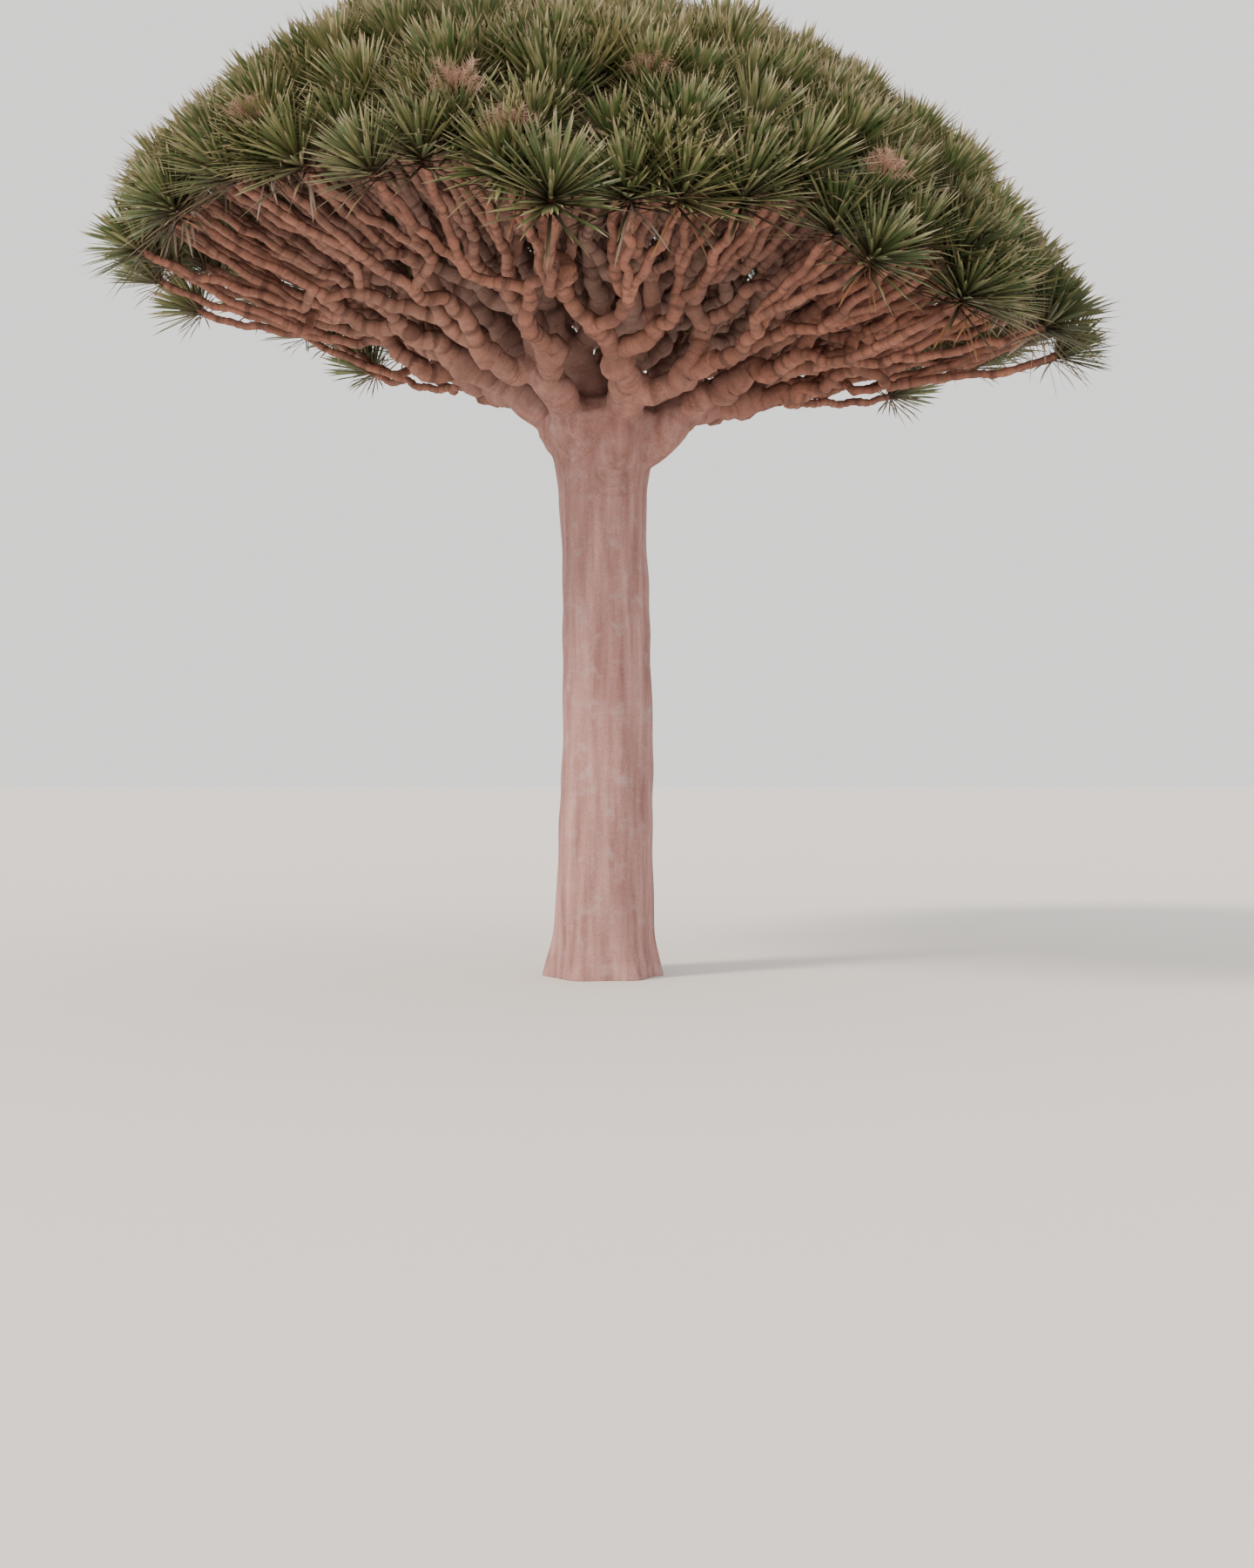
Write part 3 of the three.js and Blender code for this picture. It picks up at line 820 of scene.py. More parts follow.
def mixed(tree: Any, factor: Any, first: Any, second: Any) -> Any:
    """Mix two colours, each a socket or an sRGB hex string."""
    first, second = (linear(c) if isinstance(c, str) else c for c in (first, second))
    return output_of(
        add_node(
            tree,
            "ShaderNodeMix",
            {"Factor": factor, "A": first, "B": second},
            data_type="RGBA",
        )
    )


def noise(tree: Any, place: Any, size_mm: float, detail: float, roughness: float = 0.5) -> Any:
    """Give a noise whose grain has a size in millimetres."""
    values = {"Vector": place, "Scale": 1000 / size_mm, "Detail": detail}
    values["Roughness"] = roughness
    return add_node(tree, "ShaderNodeTexNoise", values).outputs["Fac"]


def stretched(tree: Any, value: Any, low: float, high: float, top: float = 1.0) -> Any:
    """Stretch what lies between two values to lie between zero and a top."""
    values = {"Value": value, "From Min": low, "From Max": high, "To Max": top}
    return add_node(tree, "ShaderNodeMapRange", values).outputs[0]


@dataclass(frozen=True)
class BarkFinish:
    """Living bark: grey-mauve and streaked on the trunk, red-brown with rings on the limbs,
    where painted shade darkens the ring grooves and greys the limbs that lie in shade under the
    dome.

    A name with _mm is the size of a pattern's grain in millimetres. A name with _band gives the
    two values of the pattern between which its colour comes in, and how much of it comes.

    Attributes:
        climb: Distances past the throat between which the trunk's bark becomes the limbs'.
        streak_length: How much a streak is drawn out: less is longer.
        ring_wander: How far the rings stray from level, in metres.
        ring_depth: How much deeper rings are on limbs, in relief and in painted groove shade,
            and how deep on the trunk.
        relief: Depth of the relief, in metres.
    """

    name: str = "bark"
    trunk_light: str = "#cb9f99"
    trunk_dark: str = "#875f5b"
    limb_light: str = "#b17b68"
    limb_dark: str = "#865d50"
    blotch: str = "#70544a"
    # Painted shade: a greyer bark colour for the limbs that lie in shade under the dome.
    painted_shade_grey: str = "#ab8b80"
    # Dark colour of the bark's grain, and painted shade in the ring grooves.
    groove: str = "#5a4038"
    lichen: str = "#b3a5a2"
    climb: tuple[float, float] = (-0.3, 1.3)
    grain_mm: float = 11
    grain_roughness: float = 0.62
    grain_band: tuple[float, float, float] = (0.3, 0.7, 0.38)
    tone_mm: float = 260
    tone_band: tuple[float, float] = (0.34, 0.68)
    streak_mm: float = 70
    streak_length: float = 0.09
    streak_band: tuple[float, float] = (0.22, 0.80)
    blotch_mm: float = 62
    blotch_band: tuple[float, float, float] = (0.50, 0.72, 0.75)
    crust_mm: float = 120
    crust_roughness: float = 0.66
    crust_band: tuple[float, float, float] = (0.52, 0.68, 0.4)
    ring_mm: float = 58
    ring_band: tuple[float, float] = (0.52, 0.36)
    ring_depth: tuple[float, float] = (0.7, 0.05)
    ring_wander: float = 0.08
    relief: float = 0.006
    relief_strength: float = 0.7
    roughness: float = 0.86
    gloss: float = 0.22

    def material(self) -> bpy.types.Material:
        """Build the material.

        Returns:
            A material that reads along for its rings and its change of colour up the limbs,
            and deep for a painted shade: a greyer bark colour on the limbs that lie in the shade
            between them.
        """
        made, tree, shader = new_material(self.name)
        place = add_node(tree, "ShaderNodeTexCoord").outputs["Object"]
        along = read_mark(tree, "along")
        limb = stretched(tree, along, *self.climb)
        grain = noise(tree, place, self.grain_mm, 4, self.grain_roughness)
        broad = noise(tree, place, self.tone_mm, 3)
        tone = stretched(tree, broad, *self.tone_band)
        scale = (1, 1, self.streak_length)
        drawn = add_node(tree, "ShaderNodeMapping", {"Vector": place, "Scale": scale})
        streaks = noise(tree, drawn.outputs[0], self.streak_mm, 4)
        streak = stretched(tree, streaks, *self.streak_band)
        trunk = mixed(tree, streak, self.trunk_dark, self.trunk_light)
        plain = mixed(tree, tone, self.limb_dark, self.limb_light)
        blotches = noise(tree, place, self.blotch_mm, 3)
        spread = stretched(tree, blotches, *self.blotch_band)
        outer = mixed(tree, spread, plain, self.blotch)
        # Painted shade: limbs that lie in shade under the dome turn a greyer bark colour.
        boughs = mixed(tree, read_mark(tree, "deep"), outer, self.painted_shade_grey)
        body = mixed(tree, limb, trunk, boughs)
        rough = mixed(tree, stretched(tree, grain, *self.grain_band), body, self.groove)
        wander = sum_of(tree, "MULTIPLY_ADD", broad, self.ring_wander, along)
        line = add_node(tree, "ShaderNodeCombineXYZ", {"Z": wander}).outputs[0]
        groove = stretched(tree, noise(tree, line, self.ring_mm, 2), *self.ring_band)
        depth = sum_of(tree, "MULTIPLY_ADD", limb, *self.ring_depth)
        ring = sum_of(tree, "MULTIPLY", groove, depth)
        # Painted shade: each ring darkens the bark in its groove, where the relief sinks in.
        ring_shaded = mixed(tree, ring, rough, self.groove)
        crusts = noise(tree, place, self.crust_mm, 6, self.crust_roughness)
        crust = stretched(tree, crusts, *self.crust_band)
        patch = sum_of(tree, "MULTIPLY", crust, sum_of(tree, "SUBTRACT", 1.0, limb))
        coloured = mixed(tree, patch, ring_shaded, self.lichen)
        tree.links.new(coloured, shader.inputs["Base Color"])
        height = sum_of(tree, "MULTIPLY_ADD", ring, -1.0, grain)
        values = {"Height": height, "Strength": self.relief_strength, "Distance": self.relief}
        bump = add_node(tree, "ShaderNodeBump", values)
        tree.links.new(bump.outputs[0], shader.inputs["Normal"])
        shader.inputs["Roughness"].default_value = self.roughness
        shader.inputs["Specular IOR Level"].default_value = self.gloss
        return made


@dataclass(frozen=True)
class LeafFinish:
    """A tough sword leaf: a waxy cuticle over green, darker at its base, partly from its own
    brown and partly from painted shade in the heart of the rosette, and dry at its tip.

    Each leaf's own tint lies between the colours blade and edge.

    Attributes:
        tint_band: Tints that are wholly blade and wholly edge.
        base_band: Shares of the length between which base gives way to the tint.
        tip_band: Shares between which tip comes in, and how much of it comes.
    """

    name: str
    blade: str
    edge: str
    base: str
    tip: str
    roughness: float = 0.5
    gloss: float = 0.35
    tint_band: tuple[float, float] = (0.35, 1.15)
    base_band: tuple[float, float] = (0.10, 0.62)
    tip_band: tuple[float, float, float] = (0.78, 1.0, 0.85)

    def material(self) -> bpy.types.Material:
        """Build the material.

        Returns:
            A material that reads reach, from a leaf's base to its tip, and its own tint.
        """
        made, tree, shader = new_material(self.name)
        reach, tint = read_mark(tree, "reach"), read_mark(tree, "tint")
        blade = mixed(tree, stretched(tree, tint, *self.tint_band), self.blade, self.edge)
        # Darker base: partly the leaf's own brown, partly painted shade in the heart of the
        # rosette.
        footed = mixed(tree, stretched(tree, reach, *self.base_band), self.base, blade)
        whole = mixed(tree, stretched(tree, reach, *self.tip_band), footed, self.tip)
        tree.links.new(whole, shader.inputs["Base Color"])
        shader.inputs["Roughness"].default_value = self.roughness
        shader.inputs["Specular IOR Level"].default_value = self.gloss
        return made


class Leaves(Enum):
    """The finishes that are dealt out to whole rosettes."""

    SHADED = LeafFinish("leaf_shaded_green", "#3d4a2d", "#6c6a47", "#3b3622", "#85785e")
    DEEP = LeafFinish("leaf_deep_green", "#485932", "#82815a", "#413b28", "#a5937a")
    MID = LeafFinish("leaf_mid_green", "#4f6237", "#908e63", "#4a432e", "#b7a187")
    OLIVE = LeafFinish("leaf_olive", "#5a663b", "#989165", "#4f4731", "#c0aa8c")
    GREY = LeafFinish("leaf_grey_green", "#55633c", "#918d63", "#494430", "#b3a18a")


class DryThings(Enum):
    """The finishes of the dry leaves under the rosettes and of the dry flower stalks."""

    OLD = LeafFinish("old_leaf_brown", "#4b432f", "#766a4d", "#372f22", "#8d7d5e", 0.6)
    RUST = LeafFinish("dry_leaf_rust", "#845a3d", "#a47a52", "#64483a", "#b08a62", 0.75)
    ASH = LeafFinish("dry_leaf_ash", "#85766c", "#a0917f", "#6a584c", "#a09080", 0.8)
    STALK = LeafFinish("dry_flower_stalk", "#a07c6c", "#b8937f", "#84614f", "#bc9c8a", 0.8)


def reaching(name: str, vertices: list, faces: list) -> bpy.types.Object:
    """Make an object of length one along +Z that knows its reach at each vertex."""
    mesh = mesh_of(name, vertices, faces)
    store(mesh, "reach", [float(v[2]) for v in vertices])
    return object_of(mesh, name)


def sword_blade(name: str, width: float, fold: float, rings: tuple) -> bpy.types.Object:
    """Make one blade of length one along +Z: a strip folded along its middle.

    Args:
        name: Name of the object.
        width: Width at its broadest, as a share of the length.
        fold: Depth of the fold, as a share of the length.
        rings: Share of the length and share of the width of each row of points.

    Returns:
        The blade, for instancing.
    """
    vertices = []
    for reach, share in rings:
        half = width * share / 2
        vertices += [(-half, 0, reach), (0, -fold * share, reach), (half, 0, reach)]
    vertices.append((0, 0, 1))
    faces = []
    for row in range(0, len(rings) * 3 - 3, 3):
        for a in (row, row + 1):
            faces.append([a, a + 1, a + 4, a + 3])
    last = len(rings) * 3 - 3
    faces += [[last, last + 1, last + 3], [last + 1, last + 2, last + 3]]
    return reaching(name, vertices, faces)


def flower_stalk(name: str, twigs: int, seed: int) -> bpy.types.Object:
    """Make one dry flower stalk of length one along +Z, with thin side twigs.

    Args:
        name: Name of the object.
        twigs: Number of side twigs.
        seed: Seed for their lengths.

    Returns:
        The stalk, for instancing.
    """
    dice = Dice(seed)
    half, below, above = 0.012, 0.01, 0.012
    lowest, highest = 0.35, 0.95
    shortest, longest, steepness = 0.16, 0.3, 0.8
    vertices = [(-half, 0.0, 0.0), (half, 0.0, 0.0), (0.0, 0.0, 1.0)]
    faces = [[0, 1, 2]]
    for i in range(twigs):
        root = lowest + (highest - lowest) * i / twigs
        turn = GOLDEN_ANGLE * i
        reach = dice.between(shortest, longest)
        x, y = reach * math.cos(turn), reach * math.sin(turn)
        first = len(vertices)
        vertices += [(0.0, 0.0, root - below), (0.0, 0.0, root + above)]
        vertices.append((x, y, root + reach * steepness))
        faces.append([first, first + 1, first + 2])
    return reaching(name, vertices, faces)


@dataclass
class RosetteTree:
    """Geometry Nodes that grow a rosette of blades on every point of a mesh.

    The points carry three attributes: facing, the way that the rosette looks, its size, and
    spread, the share of the most opening that its leaves reach. Its youngest leaves stand in the
    middle, short and closed up, and the oldest lie outermost.

    Attributes:
        name: Name of the node group.
        turn_jitter: How far a leaf strays round the rosette, in radians.
        open_jitter: How far it strays in or out, in radians.
        opening_power: How fast the leaves open from the middle outwards.
        young_share: The part of the leaves that are still growing.
        young_length: Length of the youngest leaf as a share of a grown one.
        length_range: Shares of their length between which leaves vary.
        droop_range: Shares of the droop between which leaves vary.
    """

    name: str = "sword_leaf_rosettes"
    turn_jitter: float = 0.25
    open_jitter: float = 0.12
    opening_power: float = 0.66
    young_share: float = 0.22
    young_length: float = 0.62
    length_range: tuple[float, float] = (0.86, 1.08)
    droop_range: tuple[float, float] = (0.4, 1.5)

    def build(self) -> bpy.types.NodeTree:
        """Build the node group with its named inputs.

        Returns:
            The node group.
        """
        tree = bpy.data.node_groups.new(self.name, "GeometryNodeTree")
        face = tree.interface
        face.new_socket("Geometry", in_out="INPUT", socket_type="NodeSocketGeometry")
        face.new_socket("Blade", in_out="INPUT", socket_type="NodeSocketObject")
        face.new_socket("Leaves", in_out="INPUT", socket_type="NodeSocketInt")
        for name in ("Length", "Least open", "Most open", "Droop", "Stem"):
            face.new_socket(name, in_out="INPUT", socket_type="NodeSocketFloat")
        face.new_socket("Seed", in_out="INPUT", socket_type="NodeSocketInt")
        face.new_socket("Finish", in_out="INPUT", socket_type="NodeSocketMaterial")
        face.new_socket("Geometry", in_out="OUTPUT", socket_type="NodeSocketGeometry")
        given = add_node(tree, "NodeGroupInput").outputs
        result = add_node(tree, "NodeGroupOutput")

        copies = add_node(
            tree,
            "GeometryNodeDuplicateElements",
            {"Geometry": given["Geometry"], "Amount": given["Leaves"]},
            domain="POINT",
        )
        number = copies.outputs["Duplicate Index"]
        facing = self.read(tree, "facing", "FLOAT_VECTOR")
        size = self.read(tree, "size", "FLOAT")
        share = sum_of(tree, "DIVIDE", number, given["Leaves"])
        turn_range = (-self.turn_jitter, self.turn_jitter)
        open_range = (-self.open_jitter, self.open_jitter)
        turn_jitter = self.random(tree, turn_range, given["Seed"], 1)
        spin = sum_of(tree, "MULTIPLY_ADD", number, GOLDEN_ANGLE, turn_jitter)
        open_jitter = self.random(tree, open_range, given["Seed"], 2)
        root_share = sum_of(tree, "POWER", share, self.opening_power)
        spread = self.read(tree, "spread", "FLOAT")
        most = sum_of(tree, "MULTIPLY", given["Most open"], spread)
        widest = sum_of(tree, "SUBTRACT", most, given["Least open"])
        even = sum_of(tree, "MULTIPLY_ADD", root_share, widest, given["Least open"])
        opening = sum_of(tree, "ADD", even, open_jitter)

        upright = add_node(
            tree, "FunctionNodeAlignRotationToVector", {"Vector": facing}, axis="Z"
        )
        turned = self.rotated(tree, upright.outputs[0], (0, 0, 1), spin)
        opened = self.rotated(tree, turned, (1, 0, 0), opening)

        growing = {"Value": share, "From Max": self.young_share, "To Min": self.young_length}
        young = add_node(tree, "ShaderNodeMapRange", {**growing, "To Max": 1.0})
        length_jitter = self.random(tree, self.length_range, given["Seed"], 3)
        scaled = sum_of(tree, "MULTIPLY", young.outputs[0], length_jitter)
        sized = sum_of(tree, "MULTIPLY", scaled, size)
        length = sum_of(tree, "MULTIPLY", sized, given["Length"])

        down = sum_of(tree, "MULTIPLY", share, given["Stem"])
        lowered = sum_of(tree, "MULTIPLY", down, -1.0)
        shift = add_node(
            tree, "ShaderNodeVectorMath", {0: facing, "Scale": lowered}, operation="SCALE"
        )
        placed = add_node(
            tree,
            "GeometryNodeSetPosition",
            {"Geometry": output_of(copies, "Geometry"), "Offset": output_of(shift, "Vector")},
        )
        sag = sum_of(tree, "SINE", opening)
        sag_jitter = self.random(tree, self.droop_range, given["Seed"], 4)
        sag_each = sum_of(tree, "MULTIPLY", sag, sag_jitter)
        sag_full = sum_of(tree, "MULTIPLY", sag_each, given["Droop"])
        tint = self.random(tree, (0.0, 1.0), given["Seed"], 5)
        stored = self.stored(tree, placed.outputs[0], "droop", sag_full)
        tinted = self.stored(tree, stored, "tint", tint)
        blade = add_node(
            tree, "GeometryNodeObjectInfo", {"Object": given["Blade"], "As Instance": True}
        )
        grown = add_node(
            tree,
            "GeometryNodeInstanceOnPoints",
            {
                "Points": tinted,
                "Instance": output_of(blade, "Geometry"),
                "Rotation": opened,
                "Scale": length,
            },
        )
        real = add_node(tree, "GeometryNodeRealizeInstances", {0: grown.outputs[0]})
        reach = self.read(tree, "reach", "FLOAT")
        squared = sum_of(tree, "POWER", reach, 2.0)
        drop = sum_of(tree, "MULTIPLY", squared, self.read(tree, "droop", "FLOAT"))
        fall = sum_of(tree, "MULTIPLY", drop, -1.0)
        offset = add_node(tree, "ShaderNodeCombineXYZ", {"Z": fall})
        bent = add_node(
            tree,
            "GeometryNodeSetPosition",
            {"Geometry": real.outputs[0], "Offset": offset.outputs[0]},
        )
        dressed = add_node(
            tree,
            "GeometryNodeSetMaterial",
            {"Geometry": bent.outputs[0], "Material": given["Finish"]},
        )
        tree.links.new(dressed.outputs[0], result.inputs["Geometry"])
        return tree

    @staticmethod
    def read(tree: Any, name: str, kind: str) -> Any:
        """Read a named attribute."""
        node = add_node(tree, "GeometryNodeInputNamedAttribute", {"Name": name}, data_type=kind)
        return output_of(node, "Attribute")

    @staticmethod
    def random(tree: Any, ends: tuple[float, float], seed: Any, salt: int) -> Any:
        """Give each element its own random number between two ends, by a seed and a salt."""
        salted = sum_of(tree, "ADD", seed, float(salt))
        values = {"Min": ends[0], "Max": ends[1], "Seed": salted}
        node = add_node(tree, "FunctionNodeRandomValue", values, data_type="FLOAT")
        return output_of(node, "Value")

    @staticmethod
    def rotated(tree: Any, rotation: Any, axis: tuple, angle: Any) -> Any:
        """Turn a rotation about one of its own axes."""
        turn = add_node(
            tree, "FunctionNodeAxisAngleToRotation", {"Axis": axis, "Angle": angle}
        )
        node = add_node(
            tree,
            "FunctionNodeRotateRotation",
            {"Rotation": rotation, "Rotate By": turn.outputs[0]},
            rotation_space="LOCAL",
        )
        return node.outputs[0]

    @staticmethod
    def stored(tree: Any, geometry: Any, name: str, value: Any) -> Any:
        """Store a number on each point."""
        node = add_node(
            tree,
            "GeometryNodeStoreNamedAttribute",
            {"Geometry": geometry, "Name": name, "Value": value},
            data_type="FLOAT",
            domain="POINT",
        )
        return node.outputs[0]


@dataclass(frozen=True)
class Habit:
    """How the leaves of a rosette stand.

    Attributes:
        leaves: Number of leaves.
        length: Length of a grown leaf, in metres.
        least_open: Angle between the innermost leaf and the rosette's way, in degrees.
        most_open: Angle between the outermost leaf and that way, in degrees.
        droop: How far the tip of a level leaf sags, in metres.
        stem: Length of the stem that the leaves stand on, in metres.
    """

    leaves: int
    length: float
    least_open: float
    most_open: float
    droop: float
    stem: float


@dataclass
class RosetteLayer:
    """One kind of leaf on a set of rosettes, joined into one piece."""

    name: str
    finish: LeafFinish
    blade: bpy.types.Object
    habit: Habit
    seed: int

    def build(self, tree: bpy.types.NodeTree, rosettes: list[tuple]) -> bpy.types.Object:
        """Grow the leaves and make them a plain mesh.

        Args:
            tree: The rosettes' node group.
            rosettes: Place, facing, size and spread of each rosette.

        Returns:
            The finished piece.
        """
        places, ways, sizes, spreads = zip(*rosettes)
        mesh = mesh_of(self.name, [tuple(p) for p in places], [])
        facing = mesh.attributes.new("facing", "FLOAT_VECTOR", "POINT")
        facing.data.foreach_set("vector", np.array(ways).ravel())
        store(mesh, "size", sizes)
        store(mesh, "spread", spreads)
        piece = object_of(mesh, self.name)
        values = {
            "Blade": self.blade,
            "Leaves": self.habit.leaves,
            "Length": self.habit.length,
            "Least open": math.radians(self.habit.least_open),
            "Most open": math.radians(self.habit.most_open),
            "Droop": self.habit.droop,
            "Stem": self.habit.stem,
            "Seed": self.seed,
            "Finish": self.finish.material(),
        }
        modifier = piece.modifiers.new("rosettes", "NODES")
        modifier.node_group = tree
        for item in tree.interface.items_tree:
            if item.in_out == "INPUT" and item.name in values:
                modifier[item.identifier] = values[item.name]
        return baked(piece)


@dataclass
class Foliage:
    """All rosettes of the crown, the dry leaves under them and the dry flower stalks.

    Attributes:
        growth: The limbs that bear them.
        living: How the green leaves stand.
        old: How the old brown leaves under them stand.
        dry: How the dry leaves hang.
        stalk: How the dry flower stalks stand.
        first_seed: Seed of the first kind of leaf. Each kind's seed is seed_step higher.
        narrow: Share of its full opening that every rosette has.
        side_open: The part of the rest that a rosette at the rim has on any side.
        front_open: What is added to that towards the front.
        upright: How far a rosette is turned up from the way of its twig.
        back_hang: Size of the hanging leaves away from the front, as a share.
        dry_from: Share of the crown's radius from which dry leaves hang.
        dry_side: Distance towards +X from which more of them hang, in metres.
        stalk_spots: Places of the nearest rosettes with flower stalks.
        stalk_chance: Chance of flower stalks on each rosette at the back.
        shaded_side: Direction of the side that less light reaches.
        shade_steps: How many finishes darker the greens are there.
        mix: How many finishes lighter or darker a rosette may be by chance.
    """

    growth: Growth
    living: Habit = Habit(128, 0.43, 2, 78, 0.03, 0.06)
    old: Habit = Habit(18, 0.43, 62, 92, 0.08, 0.05)
    dry: Habit = Habit(7, 0.27, 85, 150, 0.08, 0.08)
    stalk: Habit = Habit(20, 0.19, 6, 74, 0.0, 0.02)
    leaf_width: float = 0.054
    dry_width: float = 0.07
    leaf_fold: float = 0.012
    stalk_twigs: int = 30
    stalk_seed: int = 31
    deal_salt: int = 7
    first_seed: int = 100
    seed_step: int = 10
    size_range: tuple[float, float] = (0.88, 1.10)
    spread_range: tuple[float, float] = (0.9, 1.1)
    narrow: float = 0.5
    side_open: float = 0.3
    front_open: float = 1.4
    old_open: float = 1.1
    upright: float = 0.35
    lift: float = 0.02
    foot_drop: float = 0.03
    back_hang: float = 0.6
    hang_front: float = 3.0
    dry_from: float = 0.5
    dry_roll: float = 0.4
    rust_roll: float = 0.85
    dry_side: float = 1.2
    dry_side_more: float = 0.2
    stalk_lift: float = 0.24
    stalk_spots: tuple[tuple[float, float], ...] = (
        (-1.98, -2.14),
        (-0.74, -2.66),
        (-0.38, -2.92),
        (0.27, -2.67),
        (1.67, -2.30),
    )
    stalk_chance: float = 0.03
    shaded_side: tuple[float, float] = (0.94, -0.34)
    back_shade: float = 0.9
    first_step: float = 1.3
    shade_steps: float = 3.3
    mix: float = 1.5

    def green_at(self, at: Array, dice: Dice) -> Leaves:
        """Choose a rosette's green: darker towards the side that less light reaches."""
        side = float(at[:2] @ np.array(self.shaded_side)) / self.growth.crown_radius
        back = float(at[1]) / self.growth.crown_radius
        shade = max(side, 0.0) ** 3 + self.back_shade * max(back, 0.0) ** 3
        step = self.first_step + self.shade_steps * shade + dice.between(-self.mix, self.mix)
        greens = (Leaves.OLIVE, Leaves.GREY, Leaves.MID, Leaves.DEEP, Leaves.SHADED)
        return greens[int(min(max(step, 0.0), len(greens) - 1))]

    def stalk_bearers(self, tips: list[GrowingPoint], dice: Dice) -> set[int]:
        """Choose the rosettes with flower stalks: nearest to each spot, and some at the back."""
        places = np.array([tip.at[:2] for tip in tips])
        bearers = {
            int(np.argmin(np.linalg.norm(places - spot, axis=1))) for spot in self.stalk_spots
        }
        for i, tip in enumerate(tips):
            if dice.between(0, 1) < self.stalk_chance and tip.at[1] > 0:
                bearers.add(i)
        return bearers

    def deal(self) -> dict:
        """Deal the rosettes out to the finishes."""
        dice = Dice(self.growth.seed + self.deal_salt)
        dealt: dict[Any, list] = {finish: [] for finish in (*Leaves, *DryThings)}
        tips = [limb.tip for limb in self.growth.limbs if limb.tip is not None]
        bearers = self.stalk_bearers(tips, dice)
        for i, tip in enumerate(tips):
            out = math.hypot(tip.at[0], tip.at[1]) / self.growth.crown_radius
            way = unit(tip.way + UP * self.upright)
            size = dice.between(*self.size_range)
            front = max(0.0, -float(tip.at[1]) / self.growth.crown_radius)
            opening = min(1.0, (self.side_open + self.front_open * front) * out**3)
            widest = self.narrow + (1 - self.narrow) * opening
            spread = widest * dice.between(*self.spread_range)
            foot = tip.at - way * self.foot_drop
            head = tip.at + way * self.lift
            dealt[self.green_at(tip.at, dice)].append((head, way, size, spread))
            hang = self.back_hang + (1 - self.back_hang) * min(1.0, self.hang_front * front)
            old_spread = min(1.0, self.old_open * spread)
            dealt[DryThings.OLD].append((foot, way, size * hang, old_spread))
            more = self.dry_side_more if tip.at[0] > self.dry_side else 0.0
            roll = dice.between(0, 1) + more
            if out > self.dry_from and roll > self.dry_roll:
                kind = DryThings.RUST if roll > self.rust_roll else DryThings.ASH
                dealt[kind].append((foot, way, size * hang, hang))
            if i in bearers:
                above = tip.at + way * self.stalk_lift
                dealt[DryThings.STALK].append((above, way, size, 1.0))
        return dealt

    def build(self) -> list[bpy.types.Object]:
        """Grow every kind of leaf and stalk on its rosettes."""
        tree = RosetteTree().build()
        blade = sword_blade("blade", self.leaf_width, self.leaf_fold, LIVING_ROWS)
        dry = sword_blade("dry_blade", self.dry_width, self.leaf_fold, DRY_ROWS)
        stalk = flower_stalk("stalk", self.stalk_twigs, self.stalk_seed)
        kinds: dict[Any, tuple] = {
            DryThings.OLD: ("old_leaves", blade, self.old),
            DryThings.RUST: ("dry_leaves_rust", dry, self.dry),
            DryThings.ASH: ("dry_leaves_ash", dry, self.dry),
            DryThings.STALK: ("dry_flower_stalks", stalk, self.stalk),
        }
        for green in Leaves:
            kinds[green] = (f"rosettes_{green.name.lower()}", blade, self.living)
        pieces = []
        for i, (finish, rosettes) in enumerate(self.deal().items()):
            name, leaf, habit = kinds[finish]
            seed = self.first_seed + self.seed_step * i
            layer = RosetteLayer(name, finish.value, leaf, habit, seed)
            pieces.append(layer.build(tree, rosettes))
        for helper in (blade, dry, stalk):
            bpy.data.objects.remove(helper)
        return pieces


@dataclass
class Wood:
    """The trunk and every limb, in bark with relief."""

    growth: Growth
    trunk: Trunk
    finish: BarkFinish = BarkFinish()
    shade: Shade = Shade()
    twig_sides: int = 8
    twig_ring_step: float = 0.029
    bark_salt: int = 3
    twig_salt: int = 5

    def bark(self) -> bpy.types.Object:
        """Make the trunk with its main boughs and their first forks, melted into one."""
        builder = BarkBuilder()
        self.trunk.mark_line(builder)
        dice = Dice(self.growth.seed + self.bark_salt)
        parts = MeshParts()
        shaft = self.trunk.shaft()
        parts.add(*shaft, np.zeros(len(shaft[0])))
        for limb in self.growth.limbs:
            if limb.depth <= 1:
                builder.add_limb(limb, parts, dice)
        piece = builder.melt(parts, "bark")
        cut_at_ground(piece)
        builder.mark_rings(piece)
        self.shade.mark(piece, self.growth.throat)
        piece.data.materials.append(self.finish.material())
        return piece

    def twigs(self, mains: tuple[int, ...], name: str) -> bpy.types.Object:
        """Make the limbs inside the masses of some main boughs."""
        builder = BarkBuilder(sides=self.twig_sides, ring_step=self.twig_ring_step)
        dice = Dice(self.growth.seed + self.twig_salt + mains[0])
        parts = MeshParts()
        for limb in self.growth.limbs:
            if limb.depth > 1 and limb.main in mains:
                builder.add_limb(limb, parts, dice)
        piece = object_of(parts.mesh(name), name)
        self.shade.mark(piece, self.growth.throat)
        piece.data.materials.append(self.finish.material())
        return piece


@dataclass(frozen=True)
class Lamp:
    """One soft distant light, with its turn and its breadth in degrees."""

    name: str
    turn: tuple[float, float, float]
    power: float
    breadth: float
    colour: str

    def build(self) -> None:
        """Put the light in the scene."""
        light = bpy.data.lights.new(self.name, "SUN")
        light.energy = self.power
        light.angle = math.radians(self.breadth)
        light.color = linear(self.colour)[:3]
        holder = bpy.data.objects.new(self.name, light)
        holder.rotation_euler = [math.radians(a) for a in self.turn]
        bpy.context.collection.objects.link(holder)


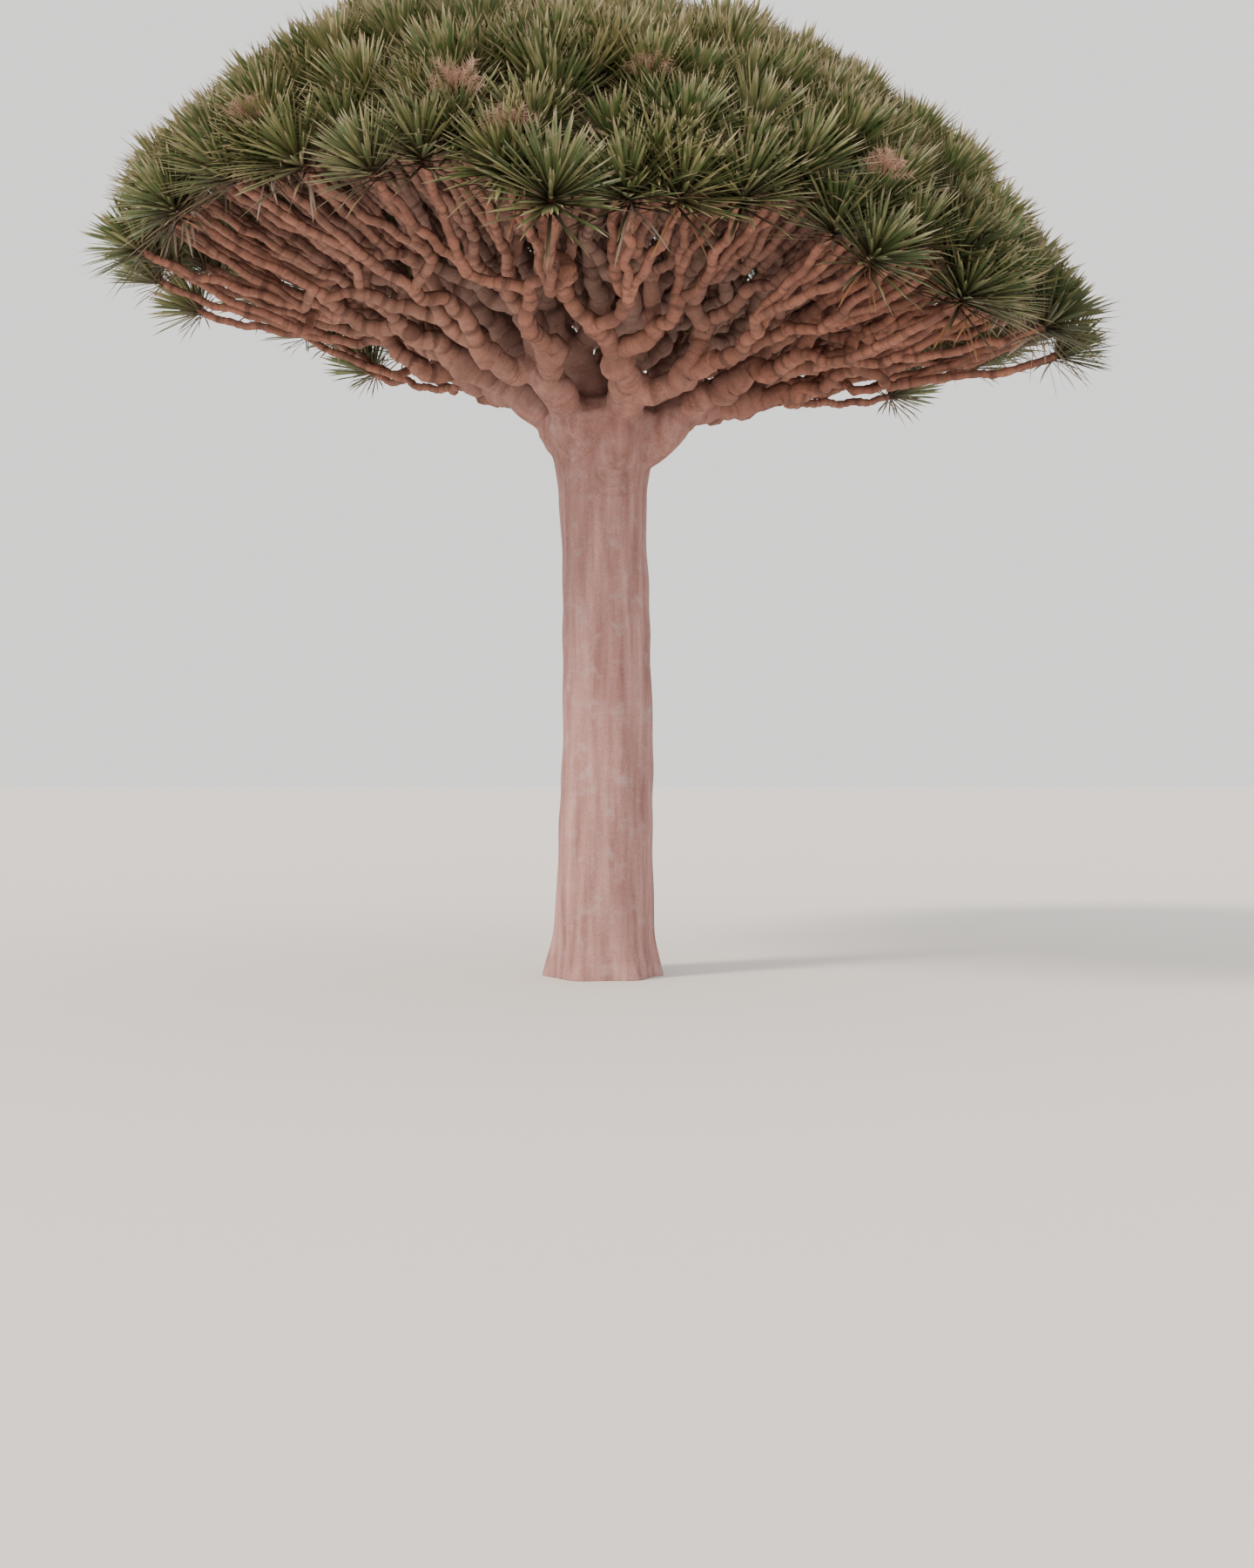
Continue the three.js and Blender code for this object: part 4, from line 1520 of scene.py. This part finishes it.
@dataclass
class Studio:
    """Plain pale floor, soft light, and a camera where the tree was first seen from."""

    camera_place: tuple[float, float, float] = (0.17, -13.9, 1.55)
    lens: float = 45.7
    sensor: float = 36.0
    pitch_down: float = 0.88
    furthest: float = 400.0
    floor_size: float = 160.0
    floor_colour: str = "#dcd8d3"
    floor_roughness: float = 0.9
    sky_colour: str = "#f4f2f0"
    sky_strength: float = 1.45
    lamps: tuple[Lamp, ...] = (
        Lamp("key", (50, 0, -58), 3.4, 12, "#fff1e0"),
        Lamp("fill", (87, 0, -8), 1.3, 60, "#ffe9dc"),
    )

    def build(self) -> None:
        """Make the floor, the light and the camera."""
        half = self.floor_size / 2
        corners = [(-half, -half, 0), (half, -half, 0), (half, half, 0), (-half, half, 0)]
        floor = object_of(mesh_of("floor", corners, [[0, 1, 2, 3]]), "floor")
        made, _, shader = new_material("pale_floor")
        shader.inputs["Base Color"].default_value = linear(self.floor_colour)
        shader.inputs["Roughness"].default_value = self.floor_roughness
        floor.data.materials.append(made)

        world = bpy.data.worlds.new("soft_sky")
        world.use_nodes = True
        sky = world.node_tree.nodes["Background"]
        sky.inputs["Color"].default_value = linear(self.sky_colour)
        sky.inputs["Strength"].default_value = self.sky_strength
        bpy.context.scene.world = world
        for lamp in self.lamps:
            lamp.build()

        camera = bpy.data.cameras.new("camera")
        camera.lens = self.lens
        camera.sensor_width = self.sensor
        camera.clip_end = self.furthest
        holder = bpy.data.objects.new("camera", camera)
        holder.location = self.camera_place
        holder.rotation_euler = (math.radians(90 - self.pitch_down), 0, 0)
        bpy.context.collection.objects.link(holder)
        bpy.context.scene.camera = holder


def settle(piece: bpy.types.Object, nodes: list[str]) -> None:
    """Fix a piece to the tree's body, hide the solids of the frame that it stands for, and log
    its faces.
    """
    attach(piece, "root")
    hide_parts(*nodes)
    LOG.info("%s: %d faces for %d nodes", piece.name, len(piece.data.polygons), len(nodes))


def main() -> None:
    """Grow and dress the whole tree."""
    logging.basicConfig(level=logging.INFO, format="%(message)s")
    Studio().build()
    names = list(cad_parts)
    masses = [n for n in names if n.startswith("foliage")]
    growth = Growth()
    growth.grow()
    wood = Wood(growth, Trunk(growth))
    settle(wood.bark(), [n for n in names if n not in masses])
    for i, mains in enumerate(((0, 1), (2, 3), (4, 5), (6, 7))):
        held = [n for n in masses if int(n.split("_")[1][0]) - 1 in mains]
        settle(wood.twigs(mains, f"twigs_{i + 1}"), held)
    for piece in Foliage(growth).build():
        settle(piece, masses)


if __name__ == "__main__":
    main()
